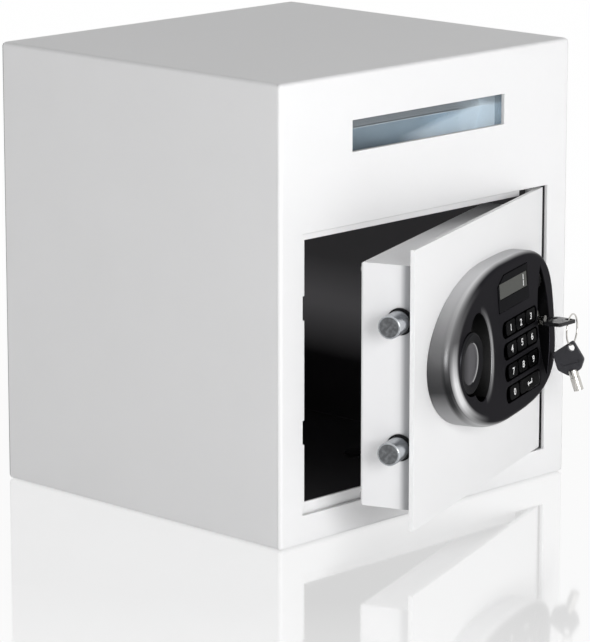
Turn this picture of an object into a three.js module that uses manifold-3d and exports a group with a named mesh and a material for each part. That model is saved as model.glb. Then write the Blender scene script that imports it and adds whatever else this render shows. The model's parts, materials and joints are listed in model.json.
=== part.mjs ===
// A front-loading drop safe: a steel cabinet with a deposit slot over a hinged door, which carries
// an electronic lock with a round knob, two locking bolts, an override key and a spare key.
// Millimetres, +Z up, the front faces -Y, and the origin is under the cabinet's middle on the floor.
// The door's own pieces are placed with the door closed: x across, y = -out from its face, z up.
import * as THREE from "three";
import { mergeVertices } from "three/addons/utils/BufferGeometryUtils.js";
import Module from "manifold-3d";

const wasm = await Module();
wasm.setup();

// Clearances and facets
const overrun = 1;
const weldGap = 0.0005;
const seatGap = 0.3;
const slideGap = 0.5;
const smallSides = 12;
const pinSides = 20;
const boltSides = 24;
const knobSides = 40;
const ovalSides = 60;
const shoulderSteps = 3;
const edgeSteps = 2;
const shellArcSteps = 1;
const arcSteps = 2;
const grooveArcSteps = 5;
const fingerArcSteps = 12;
const ringSides = 32;
const ringWireSides = 6;

// Cabinet
const cabinetWidth = 370;
const cabinetDepth = 346;
const cabinetHeight = 400;
const cabinetSheet = 2;
const frontPlateThickness = 4;
const edgeRadius = 3;
const cornerRadius = 4;

// Doorway and deposit slot in the front plate
const doorwayMarginShare = 0.072973;
const doorwayDrop = 130;
const doorwaySill = 26;
const slotWidth = 195;
const slotHeight = 27;
const slotDrop = 40.5;

// Ledges behind the front plate, under and over the doorway
const jambDepth = 26;
const jambSheet = 2;
const jambStep = 1;
const jambLeg = 21;

// Stop for the closed door: strips at the doorway's top, foot and free side
const stopLap = 6.3;
const stopFootLap = 10;
const stopSideLap = 7;
const stopSheet = 2;
const stopRoom = 1;
const stopHingeRoom = 20;

// Anchor holes in the floor and their plugs
const anchorRadius = 6;
const anchorSpacing = 180;
const plugHeadRadius = 9;
const plugHeadHeight = 2;

// Chute behind the slot
const chuteSheet = 1.5;
const chuteMargin = 4;
const hoodFlange = 15;
const hoodBack = 58;
const hoodFoldBack = 26;
const hoodFoldDrop = 14.5;
const hoodLipBack = 35;
const hoodLipDrop = 38;
const rampFlange = 14;
const rampDrop = 4;
const rampRun = 49;
const rampFall = 40;

// Hinge
const hingeInset = 7;
const hingeSetback = 8;
const hingePinRadius = 2.5;
const hingePinTail = 9;
const hingePinReach = 13;
const hingeHeadHeight = 2.5;
const hingeCollarRadius = 3.7;
const lugHeight = 16;
const lugRadius = 6;
const doorAjarDegrees = 20.5;

// Door plate and pan
const doorThickness = 4;
const doorFreeGap = 2;
const doorHingeGap = 6;
const doorEndGap = 2;
const panDepth = 46;
const panSheet = 1.5;
const panFreeInset = 9;
const panHingeInset = 15;
const panEndInset = 15.5;
const panLip = 14;
const panCoverSheet = 1.2;
const panCoverInset = 1;
const coverScrewInset = 7;
const screwHeadRadius = 3.5;
const screwHeadHeight = 1.8;
const screwRadius = 2;
const screwLength = 6;

// Bolts, their bushes and the carriage
const boltRadius = 10;
const boltChamfer = 1;
const boltReach = 25.6;
const boltLengthShare = 0.198052;
const boltSetback = 16;
const lowerBoltShare = 0.255981;
const upperBoltInset = 47.5;
const boltThrow = 18;
const boltStudRadius = 4;
const boltStudLength = 7;
const bushWall = 0.6;
const bushFlangeRadius = 11.6;
const bushFlangeThickness = 1.2;
const bushLength = 6;
const carriageSheet = 3;
const carriageMargin = 12;
const carriageReach = 54;
const carriageSetback = 29;

// Knob, spindle and crank
const knobInset = 33.3;
const knobRise = 9;
const knobRadius = 27;
const knobDishRadius = 18;
const knobDishDepth = 2.5;
const knobRimWidth = 1.2;
const knobHeight = 16;
const knobProud = 0.4;
const knobGap = 0.6;
const spindleRadius = 4;
const spindleSocket = 8;
const crankThickness = 3.5;
const crankGap = 1.5;
const crankHubRadius = 8;
const crankEndRadius = 4.5;
const crankPinRadius = 3;
const crankPinLength = 6;

// Guide strip and its two studs
const guideInset = 8.7;
const guideWidth = 10;
const guideSheet = 2;
const guideStudRadius = 3;
const guideStudRise = 12;
const guideStudDrop = 14;
const guideHeadRadius = 4.5;
const guideHeadThickness = 1.5;

// Latching solenoid
const solenoidWidth = 20;
const solenoidDepth = 19;
const solenoidHeight = 28;
const plungerRadius = 2.5;
const plungerPlay = 1;
const plungerRest = 1.5;
const plungerHidden = 22;

// Lock panel
const panelShift = 3.5;
const panelRise = 11.3;
const panelMargin = 24.5;
const panelHalfHeight = 69.8;
const panelThickness = 21.5;
const panelTiltDegrees = 4.5;
const panelShoulder = 6;
const panelWall = 2.5;
const panelFace = 4.5;
const panelLeftFullnessShare = 2;
const panelRightFullnessShare = 3.4;
const faceRise = 14;
const wellFloor = 4;
const fingerShift = 20;
const fingerRise = 10.5;
const fingerHalfWidth = 26;
const fingerHalfHeight = 38;
const grooveShift = 1.5;
const grooveHalfWidth = 14.5;
const grooveHalfHeight = 50;
const grooveTipStretch = 2;
const grooveFloor = 10;
const grooveWall = 2;

// Display
const bezelOverhang = 5;
const bezelShare = 0.850575;
const bezelRise = 24;
const bezelHeight = 31;
const bezelCut = 8;
const bezelDepth = 2.7;
const bezelProud = 0.5;
const windowInset = 3;
const windowDrop = 6;
const windowHeight = 14;
const windowThickness = 1.2;
const windowPocket = 1.5;

// Keypad
const keyRowShare = 0.74359;
const keyFirstShare = 0.247126;
const keyPitchShare = 0.287356;
const keyWidthShare = 0.88;
const keyFirstS = 7;
const keyPitchS = 19;
const keyHeight = 12.5;
const keyCorner = 3;
const keyThickness = 1.5;
const keySunk = 0.2;
const keyTravel = 1;
const keyStemRadius = 2.5;
const keyStemTail = 0.9;
const keyRowDepth = 3;
const keyRowInset = 1;
const keyRowHeight = 15;
const boardGap = 0.4;
const boardThickness = 1.6;
const boardOverhang = 7;
const boardTrim = 3;
const boardMargin = 4;
const boardPostRadius = 2.5;

// Key lock
const lockInsetShare = 0.165584;
const lockRise = 10;
const lockFlangeRadius = 11;
const lockFlangeHeight = 2;
const lockRadius = 8;
const lockTail = 20;
const plugRadius = 6;
const plugPostRadius = 2.5;
const lockCamLength = 20;
const lockCamWidth = 12;
const lockCamThickness = 2;

// Override key and spare key
const bowThickness = 3.5;
const bowEdge = 34.5;
const bowHoleB = 5.5;
const bowHoleA = 8;
const bowHoleClearance = 0.43;
const keyTubeRadius = 4.5;
const keyTubeWall = 1.2;
const keyTubeStart = 12;
const keyTubeEnd = 31;
const keyTubeBore = 12;
const bowTopLeft = [-13.5, 7];
const bowTopRight = [9, 14];
const bowRight = [14, -5];
const bowBottomRight = [8, -13];
const bowBottomLeft = [-4.5, -16.5];
const bowLeft = [-13.5, -9];

// Key ring
const ringRadius = 14;
const ringWire = 0.75;
const ringDropShare = 0.68;
const spareTiltDegrees = 19;
const spareHang = 0.25;

// Battery box
const cellRadius = 7.25;
const cellLength = 49.5;
const cellNubRadius = 2.75;
const cellNubLength = 1;
const cellCount = 4;
const cellGap = 0.4;
const batteryShift = 32;
const batteryRise = 49.5;
const batteryWall = 1.5;

// Places that follow from the sizes above
const frontY = -cabinetDepth / 2;
const backY = cabinetDepth / 2;
const plateBackY = frontY + frontPlateThickness;
const shellBackY = backY - cabinetSheet;
const innerHalfWidth = cabinetWidth / 2 - cabinetSheet;
const ceilingZ = cabinetHeight - cabinetSheet;
const doorwayWidth = cabinetWidth * (1 - 2 * doorwayMarginShare);
const doorwayTop = cabinetHeight - doorwayDrop;
const slotTop = cabinetHeight - slotDrop;
const slotBottom = slotTop - slotHeight;
const doorLeft = -doorwayWidth / 2 + doorFreeGap;
const doorRight = doorwayWidth / 2 - doorHingeGap;
const doorBottom = doorwaySill + doorEndGap;
const doorTop = doorwayTop - doorEndGap;
const doorMiddleX = (doorLeft + doorRight) / 2;
const doorMiddleZ = (doorBottom + doorTop) / 2;
const hingeX = doorRight - hingeInset;
const hingeY = frontY + hingeSetback;
const panLeft = doorLeft + panFreeInset;
const panRight = doorRight - panHingeInset;
const panBottom = doorBottom + panEndInset;
const panTop = doorTop - panEndInset;
const panBack = -doorThickness - panDepth;
const lowerBoltZ = panBottom + lowerBoltShare * (panTop - panBottom);
const boltHeights = [lowerBoltZ, panTop - upperBoltInset];
const boltTip = panLeft - boltReach;
const boltLength = (doorRight - doorLeft) * boltLengthShare;
const boltShoulder = boltTip + boltLength;
const carriageLeft = boltShoulder + seatGap;
const carriageRight = carriageLeft + carriageReach;
const knobX = carriageLeft + knobInset;
const knobZ = doorMiddleZ + knobRise;
const crankRadius = boltThrow / Math.SQRT2;
const guideX = carriageRight - guideInset;
const guideHeights = [lowerBoltZ + guideStudRise, knobZ - guideStudDrop];
const batteryX = doorMiddleX + batteryShift;
const batteryZ = panBottom + batteryRise;
const panelX = doorMiddleX + panelShift;
const panelZ = doorMiddleZ + panelRise;
const panelHalfWidth = (doorRight - doorLeft) / 2 - panelMargin;
const panelSlope = Math.tan(THREE.MathUtils.degToRad(panelTiltDegrees));
const faceZ = doorMiddleZ + faceRise;
const fingerX = knobX + fingerShift;
const fingerZ = doorMiddleZ + fingerRise;
const lockX = doorRight - (doorRight - doorLeft) * lockInsetShare;
const lockZ = doorMiddleZ + lockRise;
const grooveX = lockX - grooveShift;

// The keypad and the display share the room between the finger recess and the key groove
const keypadRight = grooveX - grooveHalfWidth;
const keypadRoom = keypadRight - (fingerX + fingerHalfWidth);
const keyRowWidth = keypadRoom * keyRowShare;
const keyRowRight = keypadRight - keyRowInset;
const keyRowLeft = keyRowRight - keyRowWidth;
const keyFirstX = keyRowLeft + keyRowWidth * keyFirstShare;
const keyPitchX = keyRowWidth * keyPitchShare;
const keyWidth = keyPitchX * keyWidthShare;
const bezelLeft = keyRowLeft - bezelOverhang;
const bezelWidth = keyRowWidth * bezelShare;
const boardLeft = keyRowLeft - boardOverhang;
const boardRight = keyRowRight - boardTrim;

// Colours and finishes
function paint(color, roughness, metalness) {
  return new THREE.MeshStandardMaterial({ color, roughness, metalness });
}

const finishes = {
  whitePaint: paint(0xeeeef0, 0.4, 0.1),
  zinc: paint(0xb4bcc2, 0.3, 0.9),
  steel: paint(0x9a9da0, 0.35, 0.9),
  polishedSteel: paint(0xc4c6c8, 0.15, 1),
  charcoal: paint(0x3b3b40, 0.35, 0.5),
  blackPlastic: paint(0x141416, 0.4, 0),
  glossBlack: paint(0x0c0e10, 0.08, 0),
  displayGlass: paint(0x5a5c54, 0.1, 0),
  nickel: paint(0xd6d2c8, 0.15, 1),
  boardGreen: paint(0x1f5a36, 0.6, 0),
  cellWrap: paint(0x6c7076, 0.4, 0.3),
};

// Solids: each helper returns a closed geometry, and manifold-3d only joins and cuts
function solidOf(geometry) {
  const bare = geometry.clone();
  bare.deleteAttribute("normal");
  bare.deleteAttribute("uv");
  const merged = mergeVertices(bare, weldGap);
  return new wasm.Manifold(
    new wasm.Mesh({
      numProp: 3,
      vertProperties: merged.attributes.position.array,
      triVerts: new Uint32Array(merged.index.array),
    }),
  );
}

function geometryOf(solid) {
  const { vertProperties, triVerts } = solid.getMesh();
  const geometry = new THREE.BufferGeometry();
  geometry.setAttribute("position", new THREE.BufferAttribute(new Float32Array(vertProperties), 3));
  geometry.setIndex(new THREE.BufferAttribute(new Uint32Array(triVerts), 1));
  return geometry;
}

function combine(first, others, action) {
  return geometryOf(others.reduce((solid, other) => solid[action](solidOf(other)), solidOf(first)));
}

const cut = (first, ...others) => combine(first, others, "subtract");
const join = (first, ...others) => combine(first, others, "add");
const overlap = (first, ...others) => combine(first, others, "intersect");

function block(x, y, z) {
  const geometry = new THREE.BoxGeometry(x[1] - x[0], y[1] - y[0], z[1] - z[0]);
  return geometry.translate((x[0] + x[1]) / 2, (y[0] + y[1]) / 2, (z[0] + z[1]) / 2);
}

// A block whose depth is given by how far it lies out from the door's face
const outBlock = (x, out, z) => block(x, [-out[1], -out[0]], z);

const along = {
  up: new THREE.Matrix4(),
  out: new THREE.Matrix4().set(1, 0, 0, 0, 0, 0, -1, 0, 0, 1, 0, 0, 0, 0, 0, 1),
  across: new THREE.Matrix4().set(0, 0, 1, 0, 1, 0, 0, 0, 0, 1, 0, 0, 0, 0, 0, 1),
};

// A shape pushed from one height to another along an axis
function pushed(shape, axis, from, to, curveSegments = arcSteps) {
  const geometry = new THREE.ExtrudeGeometry(shape, {
    depth: to - from,
    bevelEnabled: false,
    curveSegments,
  });
  return geometry.translate(0, 0, from).applyMatrix4(along[axis]);
}

const turnedTo = {
  up: new THREE.Matrix4().set(1, 0, 0, 0, 0, 0, -1, 0, 0, 1, 0, 0, 0, 0, 0, 1),
  out: new THREE.Matrix4().set(1, 0, 0, 0, 0, -1, 0, 0, 0, 0, -1, 0, 0, 0, 0, 1),
  across: new THREE.Matrix4().set(0, 1, 0, 0, 1, 0, 0, 0, 0, 0, -1, 0, 0, 0, 0, 1),
};

// A round piece: [radius, height] pairs from the low end to the high end, turned about an axis
function turned(profile, axis, place, sides = pinSides) {
  const points = profile.map(([radius, height]) => new THREE.Vector2(radius, height));
  return new THREE.LatheGeometry(points, sides).applyMatrix4(turnedTo[axis]).translate(...place);
}

function rod(radius, from, to, axis, place, sides = pinSides) {
  const profile = [
    [0, from],
    [radius, from],
    [radius, to],
    [0, to],
  ];
  return turned(profile, axis, place, sides);
}

function polygon(points) {
  return new THREE.Shape(points.map(([x, y]) => new THREE.Vector2(x, y)));
}

function roundedRectangle(width, height, radius, x = 0, y = 0) {
  const right = x + width / 2 - radius;
  const left = x - width / 2 + radius;
  const top = y + height / 2 - radius;
  const bottom = y - height / 2 + radius;
  const shape = new THREE.Shape();
  shape.absarc(right, bottom, radius, -Math.PI / 2, 0);
  shape.absarc(right, top, radius, 0, Math.PI / 2);
  shape.absarc(left, top, radius, Math.PI / 2, Math.PI);
  shape.absarc(left, bottom, radius, Math.PI, 1.5 * Math.PI);
  shape.closePath();
  return shape;
}

// A bent sheet's section: a line of points on one face, thickened to its left
function bentSheet(points, thickness) {
  const line = points.map(([x, y]) => new THREE.Vector2(x, y));
  const offset = line.map((point, i) => {
    const before = line[Math.max(i - 1, 0)];
    const after = line[Math.min(i + 1, line.length - 1)];
    const into = (i ? point.clone().sub(before) : after.clone().sub(point)).normalize();
    const away = (i < line.length - 1 ? after.clone().sub(point) : point.clone().sub(before)).normalize();
    const sum = new THREE.Vector2(-into.y - away.y, into.x + away.x);
    const stretch = (2 * thickness) / sum.lengthSq();
    return point.clone().addScaledVector(sum, stretch);
  });
  return new THREE.Shape([...line, ...offset.reverse()]);
}

const safe = new THREE.Group();
const cabinet = new THREE.Group();
const hinge = new THREE.Group();
const door = new THREE.Group();
const face = new THREE.Group();
hinge.position.set(hingeX, hingeY, 0);
hinge.rotation.z = THREE.MathUtils.degToRad(doorAjarDegrees);
door.position.set(-hingeX, frontY - hingeY, 0);
face.position.set(0, -panelThickness, faceZ);
face.rotation.x = -THREE.MathUtils.degToRad(panelTiltDegrees);
face.updateMatrix();
safe.add(cabinet, hinge);
hinge.add(door);
door.add(face);

function add(group, name, geometry, finish) {
  const flat = geometry.index ? geometry.toNonIndexed() : geometry;
  flat.computeVertexNormals();
  const mesh = new THREE.Mesh(flat, finishes[finish]);
  mesh.name = name;
  group.add(mesh);
  return mesh;
}

// Cabinet shell: one rounded block, split into the front plate, the wrapped body and the back plate
function roundedBlock() {
  const width = cabinetWidth - 2 * edgeRadius;
  const height = cabinetHeight - 2 * edgeRadius;
  const radius = cornerRadius - edgeRadius;
  const geometry = new THREE.ExtrudeGeometry(roundedRectangle(width, height, radius), {
    depth: cabinetDepth - 2 * edgeRadius,
    bevelThickness: edgeRadius,
    bevelSize: edgeRadius,
    bevelSegments: edgeSteps,
    curveSegments: shellArcSteps,
  });
  geometry.translate(0, 0, frontY + edgeRadius);
  const upright = new THREE.Matrix4().set(1, 0, 0, 0, 0, 0, 1, 0, 0, -1, 0, cabinetHeight / 2, 0, 0, 0, 1);
  return geometry.applyMatrix4(upright);
}

const wholeX = [-cabinetWidth / 2 - overrun, cabinetWidth / 2 + overrun];
const wholeZ = [-overrun, cabinetHeight + overrun];

function addShell() {
  const whole = roundedBlock();
  const doorway = block(
    [-doorwayWidth / 2, doorwayWidth / 2],
    [frontY - overrun, plateBackY + overrun],
    [doorwaySill, doorwayTop],
  );
  const slot = block(
    [-slotWidth / 2, slotWidth / 2],
    [frontY - overrun, plateBackY + overrun],
    [slotBottom, slotTop],
  );
  const frontSlab = overlap(whole, block(wholeX, [frontY - overrun, plateBackY], wholeZ));
  add(cabinet, "front_plate", cut(frontSlab, doorway, slot), "whitePaint");

  const backSlab = overlap(whole, block(wholeX, [shellBackY, backY + overrun], wholeZ));
  add(cabinet, "back_plate", backSlab, "whitePaint");

  const ring = overlap(whole, block(wholeX, [plateBackY, shellBackY], wholeZ));
  const hollow = block(
    [-innerHalfWidth, innerHalfWidth],
    [plateBackY - overrun, shellBackY + overrun],
    [cabinetSheet, ceilingZ],
  );
  const holes = [-1, 1].map((side) =>
    rod(anchorRadius, -overrun, cabinetSheet + overrun, "up", [(side * anchorSpacing) / 2, 0, 0]),
  );
  add(cabinet, "body_wrap", cut(ring, hollow, ...holes), "whitePaint");
}

function addAnchorPlugs() {
  const shankRadius = anchorRadius - seatGap;
  const profile = [
    [0, seatGap],
    [shankRadius, seatGap],
    [shankRadius, cabinetSheet],
    [plugHeadRadius, cabinetSheet],
    [plugHeadRadius, cabinetSheet + plugHeadHeight],
    [0, cabinetSheet + plugHeadHeight],
  ];
  add(cabinet, "anchor_plug_left", turned(profile, "up", [-anchorSpacing / 2, 0, 0]), "blackPlastic");
  add(cabinet, "anchor_plug_right", turned(profile, "up", [anchorSpacing / 2, 0, 0]), "blackPlastic");
}

// A ledge behind the front plate: one leg flat on the plate, one leg reaching back, with the pin's hole
function jamb(ledgeFace, side) {
  const ledge = [ledgeFace, ledgeFace + side * jambSheet].sort((a, b) => a - b);
  const leg = [ledgeFace, ledgeFace + side * (jambLeg + jambSheet)].sort((a, b) => a - b);
  const wide = [-innerHalfWidth, innerHalfWidth];
  const flat = block(wide, [plateBackY, plateBackY + jambDepth], ledge);
  const upright = block(wide, [plateBackY, plateBackY + jambSheet], leg);
  const hole = rod(hingePinRadius + seatGap, leg[0] - overrun, leg[1] + overrun, "up", [hingeX, hingeY, 0]);
  const relief = block(
    [hingeX - hingeCollarRadius - slideGap, hingeX + hingeCollarRadius + slideGap],
    [plateBackY - overrun, plateBackY + jambSheet + overrun],
    side > 0 ? [ledge[1], ledge[1] + jambLeg + overrun] : [ledge[0] - jambLeg - overrun, ledge[0]],
  );
  return cut(join(flat, upright), hole, relief);
}

// The strips that the closed door's plate meets stand on the ledges, with notches for the bolts
function addJambs() {
  const doorwayLeft = -doorwayWidth / 2;
  const stopFront = plateBackY + stopRoom;
  const stopDeep = [stopFront, stopFront + stopSheet];
  const stopWide = [doorwayLeft + stopSideLap, hingeX - stopHingeRoom];
  const lowerFace = doorwaySill - jambStep;
  const upperFace = doorwayTop + jambStep;
  const under = block(stopWide, stopDeep, [lowerFace - jambSheet, doorwaySill + stopFootLap]);
  const over = block(stopWide, stopDeep, [doorwayTop - stopLap, upperFace + jambSheet]);
  const tall = [lowerFace, upperFace + jambSheet];
  const beside = block([-innerHalfWidth, doorwayLeft + stopSideLap], stopDeep, tall);
  const seat = block([-innerHalfWidth, doorwayLeft - stopRoom], [plateBackY, stopDeep[1]], tall);
  const notches = boltHeights.map((z) =>
    block(
      [boltTip - slideGap, doorwayLeft + stopSideLap + overrun],
      [plateBackY - overrun, stopDeep[1] + overrun],
      [z - boltRadius - slideGap, z + boltRadius + slideGap],
    ),
  );
  const side = cut(join(beside, seat), ...notches);
  add(cabinet, "lower_jamb", join(jamb(lowerFace, -1), under), "whitePaint");
  add(cabinet, "upper_jamb", join(jamb(upperFace, 1), over, side), "whitePaint");
}

// Hinge pins: the lower one's collar carries the door, the upper one's head rests on its ledge
function addHingePins() {
  const lowerFace = doorwaySill - jambStep;
  const lower = [
    [0, lowerFace - jambSheet - hingePinTail],
    [hingePinRadius, lowerFace - jambSheet - hingePinTail],
    [hingePinRadius, lowerFace],
    [hingeCollarRadius, lowerFace],
    [hingeCollarRadius, doorBottom - seatGap],
    [hingePinRadius, doorBottom - seatGap],
    [hingePinRadius, doorBottom + hingePinReach],
    [0, doorBottom + hingePinReach],
  ];
  const upperFace = doorwayTop + jambStep + jambSheet;
  const upper = [
    [0, doorTop - hingePinReach],
    [hingePinRadius, doorTop - hingePinReach],
    [hingePinRadius, upperFace],
    [hingeCollarRadius, upperFace],
    [hingeCollarRadius, upperFace + hingeHeadHeight],
    [0, upperFace + hingeHeadHeight],
  ];
  add(cabinet, "lower_hinge_pin", turned(lower, "up", [hingeX, hingeY, 0], smallSides), "steel");
  add(cabinet, "upper_hinge_pin", turned(upper, "up", [hingeX, hingeY, 0], smallSides), "steel");
}

// Chute: the hood hangs from the ceiling behind the slot, the ramp leads from the slot's edge down and
// back, and a cheek closes each end
function addChute() {
  const halfWidth = slotWidth / 2 + chuteMargin;
  const hoodLine = [
    [plateBackY + hoodBack + hoodFlange, ceilingZ],
    [plateBackY + hoodBack, ceilingZ],
    [plateBackY + hoodFoldBack, slotTop - hoodFoldDrop],
    [plateBackY + hoodLipBack, slotTop - hoodLipDrop],
  ];
  const rampTop = slotBottom - rampDrop;
  const rampLine = [
    [plateBackY + rampRun, rampTop - rampFall],
    [plateBackY, rampTop],
    [plateBackY, rampTop - rampFlange],
  ];
  const wide = [-halfWidth, halfWidth];
  add(cabinet, "chute_hood", pushed(bentSheet(hoodLine, chuteSheet), "across", ...wide), "zinc");
  add(cabinet, "chute_ramp", pushed(bentSheet(rampLine, chuteSheet), "across", ...wide), "zinc");
  const cheek = polygon([
    [plateBackY, ceilingZ],
    [plateBackY, rampTop - chuteMargin],
    [plateBackY + rampRun, rampTop - rampFall - chuteMargin],
    [plateBackY + hoodBack + hoodFlange, ceilingZ],
  ]);
  add(cabinet, "chute_cheek_left", pushed(cheek, "across", -halfWidth - chuteSheet, -halfWidth), "zinc");
  add(cabinet, "chute_cheek_right", pushed(cheek, "across", halfWidth, halfWidth + chuteSheet), "zinc");
}

function addDoorPlate() {
  const plate = outBlock([doorLeft, doorRight], [-doorThickness, 0], [doorBottom, doorTop]);
  const through = [-doorThickness - overrun, overrun];
  const spindleHole = rod(spindleRadius + slideGap, ...through, "out", [knobX, 0, knobZ]);
  const lockHole = rod(lockRadius + seatGap, ...through, "out", [lockX, 0, lockZ]);
  add(door, "door_plate", cut(plate, spindleHole, lockHole), "whitePaint");
}

// Door pan: a box open to the plate, with a lip round its back for the cover
function addDoorPan() {
  const front = -doorThickness - seatGap;
  const outer = outBlock([panLeft, panRight], [panBack, front], [panBottom, panTop]);
  const inner = outBlock(
    [panLeft + panSheet, panRight - panSheet],
    [panBack + panSheet, front + overrun],
    [panBottom + panSheet, panTop - panSheet],
  );
  const opening = outBlock(
    [panLeft + panLip, panRight - panLip],
    [panBack - overrun, panBack + panSheet + overrun],
    [panBottom + panLip, panTop - panLip],
  );
  const boltHoles = boltHeights.map((z) =>
    rod(bushOuter + seatGap, -overrun, panSheet + overrun, "across", [panLeft, boltSetback, z], boltSides),
  );
  const screwHoles = coverScrewPlaces.map(([x, z]) =>
    rod(screwRadius + seatGap, panBack - overrun, panBack + panSheet + overrun, "out", [x, 0, z], smallSides),
  );
  add(door, "door_pan", cut(outer, inner, opening, ...boltHoles, ...screwHoles), "whitePaint");
}

const bushOuter = boltRadius + seatGap + bushWall;
const coverScrewPlaces = [panBottom, panTop].flatMap((z, row) =>
  [panLeft, panRight].map((x, column) => [
    x + (column ? -coverScrewInset : coverScrewInset),
    z + (row ? -coverScrewInset : coverScrewInset),
  ]),
);

// Battery tray behind the pan cover: the cells lie side by side, one over the other
const batteryInnerLength = cellLength + cellNubLength + 2 * cellGap;
const batteryInnerHeight = cellCount * (2 * cellRadius + cellGap) + cellGap;
const batteryInnerDepth = 2 * cellRadius + 2 * cellGap;
const coverFront = panBack - seatGap;
const coverBack = coverFront - panCoverSheet;

function batteryRange(middle, size, extra) {
  return [middle - size / 2 - extra, middle + size / 2 + extra];
}

function addPanCover() {
  const plate = outBlock(
    [panLeft + panCoverInset, panRight - panCoverInset],
    [coverBack, coverFront],
    [panBottom + panCoverInset, panTop - panCoverInset],
  );
  const window = outBlock(
    batteryRange(batteryX, batteryInnerLength, 0),
    [coverBack - overrun, coverFront + overrun],
    batteryRange(batteryZ, batteryInnerHeight, 0),
  );
  const holes = coverScrewPlaces.map(([x, z]) =>
    rod(screwRadius + seatGap, coverBack - overrun, coverFront + overrun, "out", [x, 0, z], smallSides),
  );
  add(door, "pan_cover", cut(plate, window, ...holes), "whitePaint");

  const head = coverBack - seatGap;
  const screw = [
    [0, head - screwHeadHeight],
    [screwHeadRadius, head - screwHeadHeight],
    [screwHeadRadius, head],
    [screwRadius, head],
    [screwRadius, head + screwLength],
    [0, head + screwLength],
  ];
  coverScrewPlaces.forEach(([x, z], i) => {
    add(door, `cover_screw_${i + 1}`, turned(screw, "out", [x, 0, z], smallSides), "steel");
  });
}

function addBatteryBox() {
  const rim = coverFront + seatGap;
  const outer = outBlock(
    batteryRange(batteryX, batteryInnerLength, batteryWall),
    [rim, rim + batteryInnerDepth + batteryWall],
    batteryRange(batteryZ, batteryInnerHeight, batteryWall),
  );
  const pocket = outBlock(
    batteryRange(batteryX, batteryInnerLength, 0),
    [rim - overrun, rim + batteryInnerDepth],
    batteryRange(batteryZ, batteryInnerHeight, 0),
  );
  add(door, "battery_box", cut(outer, pocket), "blackPlastic");

  const start = batteryX - batteryInnerLength / 2 + cellGap;
  const cell = [
    [0, 0],
    [cellRadius, 0],
    [cellRadius, cellLength],
    [cellNubRadius, cellLength],
    [cellNubRadius, cellLength + cellNubLength],
    [0, cellLength + cellNubLength],
  ];
  const middleY = -(rim + cellGap + cellRadius);
  for (let i = 0; i < cellCount; i++) {
    const z = batteryZ - batteryInnerHeight / 2 + cellGap + cellRadius + i * (2 * cellRadius + cellGap);
    add(door, `battery_cell_${i + 1}`, turned(cell, "across", [start, middleY, z], smallSides), "cellWrap");
  }

  const lid = outBlock(
    batteryRange(batteryX, batteryInnerLength, -seatGap),
    [coverBack, coverFront],
    batteryRange(batteryZ, batteryInnerHeight, -seatGap),
  );
  add(door, "battery_lid", lid, "blackPlastic");
}

// A hinge lug: flat on the plate's back, rounded behind, with the pin's hole
function addHingeLugs() {
  const outline = new THREE.Shape();
  const front = doorThickness + seatGap;
  outline.moveTo(hingeX - lugRadius, front);
  outline.lineTo(hingeX + lugRadius, front);
  outline.absarc(hingeX, hingeSetback, lugRadius, 0, Math.PI);
  outline.closePath();
  const lug = (low, high) =>
    cut(
      pushed(outline, "up", low, high),
      rod(hingePinRadius + seatGap, low - overrun, high + overrun, "up", [hingeX, hingeSetback, 0]),
    );
  add(door, "lower_hinge_lug", lug(doorBottom, doorBottom + lugHeight), "whitePaint");
  add(door, "upper_hinge_lug", lug(doorTop - lugHeight, doorTop), "whitePaint");
}

// Bolts, bushes and the bent carriage that ties the bolts together
function addBolts() {
  const bush = [
    [boltRadius + seatGap, 0],
    [bushFlangeRadius, 0],
    [bushFlangeRadius, bushFlangeThickness],
    [bushOuter, bushFlangeThickness],
    [bushOuter, bushFlangeThickness + bushLength],
    [boltRadius + seatGap, bushFlangeThickness + bushLength],
    [boltRadius + seatGap, 0],
  ];
  const bolt = [
    [0, 0],
    [boltRadius - boltChamfer, 0],
    [boltRadius, boltChamfer],
    [boltRadius, boltLength],
    [boltStudRadius, boltLength],
    [boltStudRadius, boltLength + boltStudLength],
    [0, boltLength + boltStudLength],
  ];
  ["lower", "upper"].forEach((which, i) => {
    const z = boltHeights[i];
    const bushStart = [panLeft - seatGap - bushFlangeThickness, boltSetback, z];
    const boltStart = [boltTip, boltSetback, z];
    add(door, `${which}_bolt_bush`, turned(bush, "across", bushStart, boltSides), "blackPlastic");
    add(door, `${which}_bolt`, turned(bolt, "across", boltStart, boltSides), "polishedSteel");
  });
}

// The crank turns a quarter turn, evenly about its highest place, and drives the carriage across
const crankAngle = (3 * Math.PI) / 4;
const crankPinX = knobX + crankRadius * Math.cos(crankAngle);
const crankPinZ = knobZ + crankRadius * Math.sin(crankAngle);

function addCarriage() {
  const low = boltHeights[0] - carriageMargin;
  const high = boltHeights[1] + carriageMargin;
  const webBack = -carriageSetback - carriageSheet;
  const web = outBlock([carriageLeft, carriageRight], [webBack, -carriageSetback], [low, high]);
  const sideFront = -(boltSetback - carriageMargin) - overrun;
  const side = outBlock([carriageLeft, carriageLeft + carriageSheet], [webBack, sideFront], [low, high]);
  const studHoles = boltHeights.map((z) =>
    rod(
      boltStudRadius + seatGap,
      -overrun,
      carriageSheet + overrun,
      "across",
      [carriageLeft, boltSetback, z],
    ),
  );
  const throughWeb = [webBack - overrun, -carriageSetback + overrun];
  const guideSlots = guideHeights.map((z) =>
    outBlock(
      [guideX - boltThrow - guideStudRadius - slideGap, guideX + guideStudRadius + slideGap],
      throughWeb,
      [z - guideStudRadius - slideGap, z + guideStudRadius + slideGap],
    ),
  );
  const pinReach = crankPinRadius + slideGap;
  const pinSlot = outBlock([crankPinX - pinReach, crankPinX + pinReach], throughWeb, [
    crankPinZ - pinReach,
    knobZ + crankRadius + pinReach,
  ]);
  const carriage = cut(join(web, side), ...studHoles, ...guideSlots, pinSlot);
  add(door, "bolt_carriage", carriage, "zinc");
}

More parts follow.
